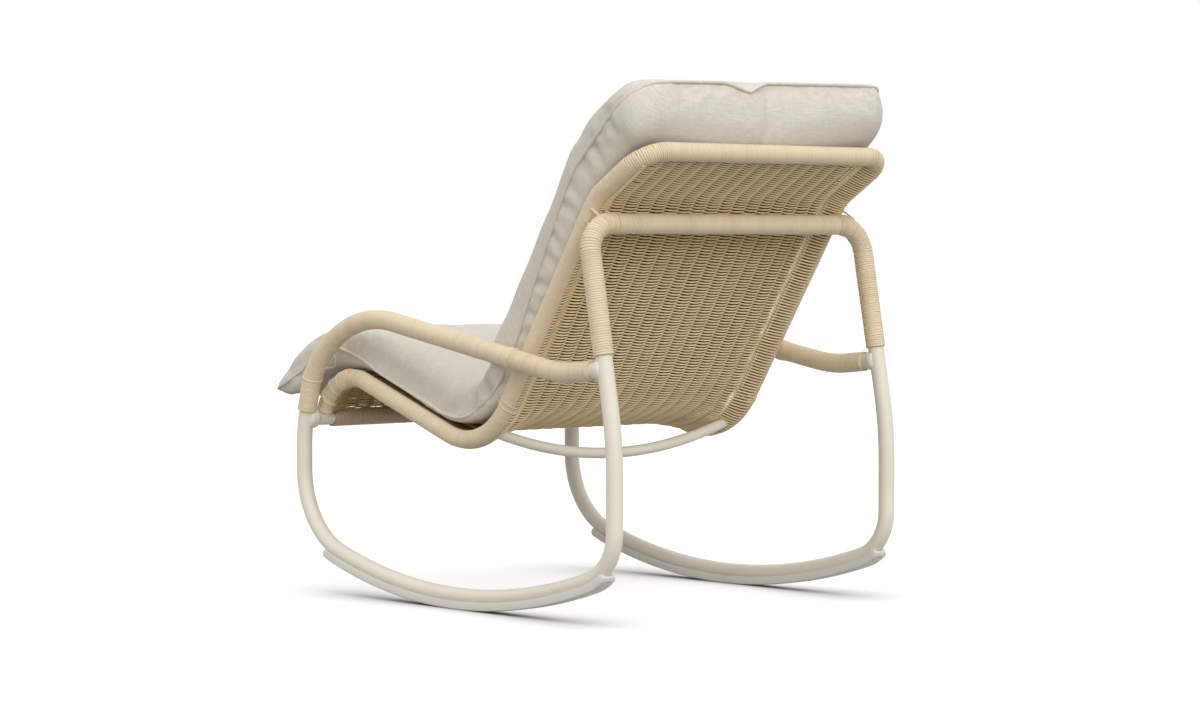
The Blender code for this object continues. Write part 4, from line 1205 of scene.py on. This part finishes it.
NEAR_END = [0.0, 0.0012, 0.004, 0.008, 0.0135, 0.020, 0.0265]
EVEN_FROM = 0.034
EVEN_COUNT = 142
middle = list(np.linspace(TIP_TRIM + EVEN_FROM, cushion_run - EVEN_FROM, EVEN_COUNT))
cushion_stations = [TIP_TRIM + e for e in NEAR_END] + middle + [cushion_run - e for e in reversed(NEAR_END)]
sections = [cushion_section(s) for s in cushion_stations]
ring_size = 2 * PANEL_COUNT
side_points = []
cloth_places = []
for s, (upper, lower) in zip(cushion_stations, sections):
    ring = np.concatenate((upper[0], lower[0][::-1][1:-1]))
    side_points.append(cushion_place(s, ring[:, 0], ring[:, 1]))
    spread = np.concatenate((upper[1], lower[1][::-1][1:-1]))
    cloth_places.append(np.stack([spread, np.full(ring_size, s), np.zeros(ring_size)], axis=1))
side_points = np.concatenate(side_points)
cushion_points = [side_points]
cushion_faces = ring_faces(len(cushion_stations), ring_size)

# Dip in the head's end: depth, place across, half width, sharpness and how far inward it turns
HEAD_DIP = 0.018
DIP_AT = 0.040
DIP_HALF = 0.050
DIP_POWER = 1.3
DIP_INWARD = 0.2
# Shares of the lower panel's edge, the seam and the upper panel's edge in the rows of an end face
END_STEPS = ((0.5, 0.5, 0.0), (0.0, 1.0, 0.0), (0.0, 0.5, 0.5))


def cushion_up(s):
    t = cushion_route.at(s, "t")
    return np.array((0.0, -t[2], t[1]))


def end_face(row, first):
    """Rows of an end face's grid from the lower panel to the upper, and the points that it adds."""
    base = row * ring_size
    upper = [base + k for k in range(PANEL_COUNT + 1)]
    lower = [base] + [base + ring_size - k for k in range(1, PANEL_COUNT)] + [base + PANEL_COUNT]
    across = side_points[base + PANEL_COUNT] - side_points[base]
    line = side_points[base] + across * np.linspace(0, 1, PANEL_COUNT + 1)[:, None]
    if row > 0:
        dip = HEAD_DIP * np.clip(1 - np.abs(line[:, 0] - DIP_AT) / DIP_HALF, 0, 1)[:, None] ** DIP_POWER
        line = line - dip * cushion_up(cushion_run) - DIP_INWARD * dip * cushion_route.t[-1]
    rows = [lower]
    added = []
    for low_part, seam_part, high_part in END_STEPS:
        spots = side_points[lower] * low_part + line * seam_part + side_points[upper] * high_part
        start = first + len(added) * (PANEL_COUNT - 1)
        added.append(spots[1:-1])
        rows.append([base] + list(range(start, start + PANEL_COUNT - 1)) + [base + PANEL_COUNT])
    rows.append(upper)
    return rows, added


end_seams = []
for row, turned in ((0, False), (len(cushion_stations) - 1, True)):
    rows, added = end_face(row, sum(len(part) for part in cushion_points))
    cushion_points += added
    end_seams.append(rows[2])
    reach = sections[row][0][1][1:-1]
    for step in range(len(added)):
        laid = np.full(len(reach), cushion_stations[row] + 0.012 * (step - 1))
        cloth_places.append(np.stack([reach, laid, np.zeros(len(reach))], axis=1))
    for a, b in zip(rows, rows[1:]):
        for k in range(PANEL_COUNT):
            ring = [a[k], a[k + 1], b[k + 1], b[k]]
            if k == 0:
                ring = ring[:3]
            if k == PANEL_COUNT - 1:
                ring = [ring[0], ring[1], ring[3]]
            cushion_faces.append(tuple(ring[::-1] if turned else ring))

seam_index = [r * ring_size for r in range(len(cushion_stations))]
seam_index += [r * ring_size + PANEL_COUNT for r in range(len(cushion_stations))]
seam_index += end_seams[0] + end_seams[1]
cushion_verts = np.concatenate(cushion_points)
cushion = new_mesh("linen_cushion", cushion_verts, cushion_faces, LINEN)
set_values(cushion.data, "cloth", np.concatenate(cloth_places), "FLOAT_VECTOR", "vector")
CLOTH_FRAMES = 20
CLOTH_SETTINGS = {
    "quality": 4, "mass": 0.3, "tension_stiffness": 12, "compression_stiffness": 12, "shear_stiffness": 4,
    "bending_stiffness": 0.4, "use_pressure": True, "uniform_pressure_force": 2.6, "shrink_min": -0.035,
    "vertex_group_mass": "seam",
}
# Most that a point may move: outward and inward, on the upper panel and on the lower one
UPPER_MOST = (0.0050, 0.0030)
LOWER_MOST = (0.0012, 0.004)


def filled(obj, pinned):
    """Cloth swelled by its filling with the seam held; returns the points that the cloth settles to."""
    group = obj.vertex_groups.new(name="seam")
    group.add([int(k) for k in set(pinned)], 1.0, "REPLACE")
    cloth = obj.modifiers.new("cloth", "CLOTH")
    for key, value in CLOTH_SETTINGS.items():
        setattr(cloth.settings, key, value)
    cloth.settings.effector_weights.gravity = 0.0
    cloth.point_cache.frame_start = 1
    cloth.point_cache.frame_end = CLOTH_FRAMES
    scene = bpy.context.scene
    for number in range(1, CLOTH_FRAMES + 1):
        scene.frame_set(number)
    shape = obj.evaluated_get(bpy.context.evaluated_depsgraph_get()).to_mesh()
    settled = np.zeros(len(shape.vertices) * 3)
    shape.vertices.foreach_get("co", settled)
    obj.modifiers.remove(cloth)
    obj.vertex_groups.remove(group)
    scene.frame_set(1)
    return settled.reshape(-1, 3)


def set_points(mesh, points):
    mesh.vertices.foreach_set("co", points.astype(np.float32).reshape(-1))
    mesh.update()


def point_normals(mesh):
    normals = np.zeros(len(mesh.vertices) * 3, np.float32)
    mesh.vertices.foreach_get("normal", normals)
    return normals.reshape(-1, 3)


rest_points = cushion_verts.copy()
moved = filled(cushion, seam_index) - rest_points
outward = (moved * point_normals(cushion.data)).sum(axis=1)
reach = np.linalg.norm(moved, axis=1)
in_ring = np.arange(len(rest_points)) < len(cushion_stations) * ring_size
below = in_ring & (np.arange(len(rest_points)) % ring_size > PANEL_COUNT)
most = np.where(below, np.where(outward > 0, *LOWER_MOST), np.where(outward > 0, *UPPER_MOST))
rest_points = rest_points + moved * np.minimum(1, most / np.maximum(reach, 1e-9))[:, None]
set_points(cushion.data, rest_points)

# Creases: puckers from the seam on the back, folds in the seat corner and a sewn line down the head's rear

PUCKER_FROM = 0.075
PUCKER_UNTIL = 0.055
PUCKER_DEPTH = 0.0052
PUCKER_HALF = 0.0062
PUCKER_GROWTH = 0.20
# Ranges that a pucker's slant, share of the depth, length and distance to the next are drawn from
PUCKER_SLANTS = (-0.35, 0.35)
PUCKER_SHARES = (0.45, 1.25)
PUCKER_LENGTHS = (0.045, 0.070)
PUCKER_STEPS = (0.036, 0.056)
FOLD_HALF = 0.0130
FOLD_LENGTH = 0.125
# Folds in the seat corner: place from the corner, slant and depth
FOLDS = ((-0.060, 0.55, 0.0080), (-0.014, 0.25, 0.0120), (0.034, -0.15, 0.0100), (0.082, -0.45, 0.0080))
SEWN_AT = 0.016
SEWN_HALF = 0.0035
SEWN_DEPTH = 0.0014
VALLEY_HALF = 0.035
VALLEY_DEPTH = 0.0025
SLOW_WAVES = 0.0016
SEWN_RUN = 0.20
# Painted shade on the lower panel: from this far in from the seam, and until this far from the head's end.
SHADE_UNDER_FROM = 0.075
SHADE_UNDER_UNTIL = 0.070


def crease(across, width):
    """Height of a fold: a narrow valley with a low ridge on each side."""
    u = across / width
    return np.exp(-((np.abs(u) - 2.4) / 1.1) ** 2) * 0.45 - np.exp(-u ** 2)


ring_points = len(cushion_stations) * ring_size
number = np.arange(ring_points) % ring_size
on_upper = number <= PANEL_COUNT
spot = np.where(on_upper, number, ring_size - number)
rows_of = np.arange(ring_points) // ring_size
along = np.array(cushion_stations)[rows_of]
run_across = np.array([[section[0][1], section[1][1]] for section in sections])
across = run_across[rows_of, np.where(on_upper, 0, 1), spot]
from_seam = np.abs(run_across[rows_of, np.where(on_upper, 0, 1), 0]) - np.abs(across)
is_left = across > 0
rng = np.random.default_rng(7)
lift = np.zeros(ring_points)
at_seam = eased(from_seam / 0.006 + 0.25)
for left in (True, False):
    s = elbow_at + PUCKER_FROM
    while s < cushion_run - PUCKER_UNTIL:
        slant = rng.uniform(*PUCKER_SLANTS)
        grown = float(eased((s - elbow_at) / PUCKER_GROWTH) * 0.6 + 0.4)
        depth = PUCKER_DEPTH * rng.uniform(*PUCKER_SHARES) * grown
        length = rng.uniform(*PUCKER_LENGTHS)
        fade = eased((length - from_seam) / (0.8 * length)) * at_seam
        pucker = crease(along - s - slant * from_seam, PUCKER_HALF) * depth * fade
        lift += np.where(~on_upper & (is_left == left), pucker, 0)
        s += rng.uniform(*PUCKER_STEPS)
    for offset, slant, depth in FOLDS:
        fade = eased((FOLD_LENGTH - from_seam) / 0.105) * at_seam
        bow = slant * from_seam + 0.006 * np.sin(from_seam * 50)
        fold_here = crease(along - elbow_at - offset - bow, FOLD_HALF) * depth * fade
        lift += np.where(on_upper & (is_left == left), fold_here, 0)
sewn = np.where(on_upper, 0, eased((along - cushion_run + SEWN_RUN) / 0.03))
sewn_line = sewn * np.exp(-((across - SEWN_AT) / SEWN_HALF) ** 2)
lift -= SEWN_DEPTH * sewn_line + VALLEY_DEPTH * sewn * np.exp(-((across - SEWN_AT) / VALLEY_HALF) ** 2)
slow = SLOW_WAVES * np.sin(along * 41 + across * 13) * np.sin(across * 29 - along * 17)
lift += np.where(on_upper, slow, 0) * eased(from_seam / 0.05)
# Painted shade: the lower panel is darkened where it rests on the weave, and faintly along the sewn line
# down the head's rear.
shaded_under = np.where(on_upper, 0, eased((from_seam - SHADE_UNDER_FROM) / 0.010))
shaded_under = shaded_under * eased((along - fold_at + 0.03) / 0.02) * eased((cushion_run - SHADE_UNDER_UNTIL - along) / 0.02)
cloth_painted_shade = np.zeros(len(rest_points), np.float32)
cloth_painted_shade[:ring_points] = np.maximum(shaded_under, 0.07 * sewn_line)
set_values(cushion.data, "cloth_painted_shade", cloth_painted_shade)
normals = point_normals(cushion.data)[:ring_points]
rest_points[:ring_points] += normals * lift[:, None]
set_points(cushion.data, rest_points)
soft = cushion.modifiers.new("soft", "SUBSURF")
soft.levels = 1
soft.render_levels = 1
keep(cushion, "linen", "cushion")

# Piping in the seam

PIPING_R = 0.0029
PIPING_PROUD = 0.0018
stations = len(cushion_stations)
piping_line = [rest_points[k] for k in seam_index[:stations]]
for k, share in zip(end_seams[1][1:], np.linspace(0, 1, PANEL_COUNT + 1)[1:]):
    proud = PIPING_PROUD * float(eased(min(share, 1 - share) / 0.06))
    piping_line.append(rest_points[k] + proud * cushion_route.t[-1])
piping_line += [rest_points[k] for k in seam_index[stations:2 * stations][::-1][1:] + end_seams[0][::-1][1:]]
keep(new_mesh("seam_piping", *sweep(Route(piping_line), PIPING_R, 10), TRIM), "trim", "piping")

# Ties

TIE_AT = 0.2005
TIE_DROP = 0.0193
TIE_R = 0.0020
TIE_LOOP_R = 0.013
TIE_LOOP_ANGLES = np.radians(np.linspace(100.0, -100.0, 9))
TIE_TAIL = 0.034
TIE_DROOP = 0.010
TAIL_STEPS = 3
tie_x = max(half_width(TIE_AT), half_width(TIE_AT - TIE_TAIL)) + TIE_R + CLEAR
for side, sign in SIDES:
    beside = np.array((sign * tie_x, 0.0, 0.0))
    centre = cushion_route.at(TIE_AT) - UP * TIE_DROP
    route = []
    for angle in TIE_LOOP_ANGLES:
        route.append(centre + beside + np.array((0.0, math.cos(angle), math.sin(angle))) * TIE_LOOP_R)
    loop_end = route[-1]
    way = unit(loop_end - route[-2])
    for k in range(1, TAIL_STEPS + 1):
        route.append(loop_end + way * TIE_TAIL * k / TAIL_STEPS - UP * TIE_DROOP * (k / TAIL_STEPS) ** 2)
    data = bpy.data.curves.new("tie_cord_" + side, "CURVE")
    data.dimensions = "3D"
    data.bevel_depth = TIE_R
    data.bevel_resolution = 4
    data.use_fill_caps = True
    spline = data.splines.new("POLY")
    fine = Route(route, 0.0025).p
    spline.points.add(len(fine) - 1)
    for spot, p in zip(spline.points, fine):
        spot.co = (*p, 1.0)
    tie = bpy.data.objects.new("tie_cord_" + side, data)
    bpy.context.scene.collection.objects.link(tie)
    data.materials.append(TRIM)
    keep(tie, "trim", "tie_" + side)
    length = float(np.linalg.norm(np.diff(fine, axis=0), axis=1).sum())
    tuple(float(v) for v in route[0])

# Pale floor with a painted contact shadow, soft studio light and a white surround

FLOOR_HALF = 30.0
FLOOR_BOUNCE = 0.28
FLOOR_SEEN = 0.46
FLOOR_GLOW = 0.69
PAINTED_SHADOW_REACH = 0.20
PAINTED_SHADOW_POWER = 2.5
HORIZON = (0.74, 0.70, 0.62)
WHITE = (1.0, 1.0, 1.0)
ZENITH = 0.92
scene = bpy.context.scene
scene.view_settings.view_transform = "Standard"


def seen_of(tree):
    """One for rays that show the surface itself: from the camera, in gloss and through glass."""
    rays = node(tree, "ShaderNodeLightPath").outputs
    seen = math_of(tree, "MAXIMUM", rays["Is Camera Ray"], rays["Is Glossy Ray"])
    return math_of(tree, "MAXIMUM", seen, rays["Is Transmission Ray"])


floor_material = bpy.data.materials.new("studio_floor")
floor_material.use_nodes = True
tree = floor_material.node_tree
tree.nodes.clear()
seen = seen_of(tree)
grey = mixed(tree, seen, (FLOOR_BOUNCE,) * 3, (FLOOR_SEEN,) * 3)
diffuse = node(tree, "ShaderNodeBsdfDiffuse", Color=grey)
# Painted contact shadow: the floor's glow is dimmed by occlusion near the rockers.
painted_shadow_occlusion = node(tree, "ShaderNodeAmbientOcclusion", samples=16, Distance=PAINTED_SHADOW_REACH)
level = math_of(tree, "POWER", painted_shadow_occlusion.outputs["AO"], PAINTED_SHADOW_POWER)
level = math_of(tree, "MULTIPLY", level, FLOOR_GLOW)
level = math_of(tree, "MULTIPLY", level, seen)
glow = node(tree, "ShaderNodeEmission", Strength=level)
total = node(tree, "ShaderNodeAddShader")
for socket, light in zip(total.inputs, (diffuse, glow)):
    tree.links.new(light.outputs[0], socket)
node(tree, "ShaderNodeOutputMaterial", Surface=total.outputs[0])
corners = [(x * FLOOR_HALF, y * FLOOR_HALF, 0.0) for x, y in ((-1, -1), (1, -1), (1, 1), (-1, 1))]
floor = new_mesh("studio_floor", corners, [(0, 1, 2, 3)], floor_material)

world = bpy.data.worlds.new("studio")
scene.world = world
world.use_nodes = True
tree = world.node_tree
backdrop = tree.nodes["Background"]
seen = seen_of(tree)
way = node(tree, "ShaderNodeSeparateXYZ", Vector=place_of(tree, "Generated"))
sky = ramp_of(tree, way.outputs["Z"], ((0.0, HORIZON), (1.0, WHITE)))
strength = math_of(tree, "MULTIPLY_ADD", seen, 1.0 - ZENITH, ZENITH)
fill(tree, backdrop, {"Color": mixed(tree, seen, sky, WHITE), "Strength": strength})


def soft_lamp(name, turn, height, strength, spread):
    """Broad even light from a direction: turn about +Z from -Y, and height above the floor, in degrees."""
    lamp = bpy.data.lights.new(name, "SUN")
    lamp.energy = strength
    lamp.angle = math.radians(spread)
    obj = bpy.data.objects.new(name, lamp)
    scene.collection.objects.link(obj)
    turn = math.radians(turn)
    height = math.radians(height)
    flat_way = math.cos(height)
    source = Vector((math.sin(turn) * flat_way, -math.cos(turn) * flat_way, math.sin(height)))
    obj.rotation_euler = (-source).to_track_quat("-Z", "Y").to_euler()


soft_lamp("overhead", 110.0, 62.0, 0.24, 70.0)
soft_lamp("fill", 157.0, 27.0, 1.50, 72.0)
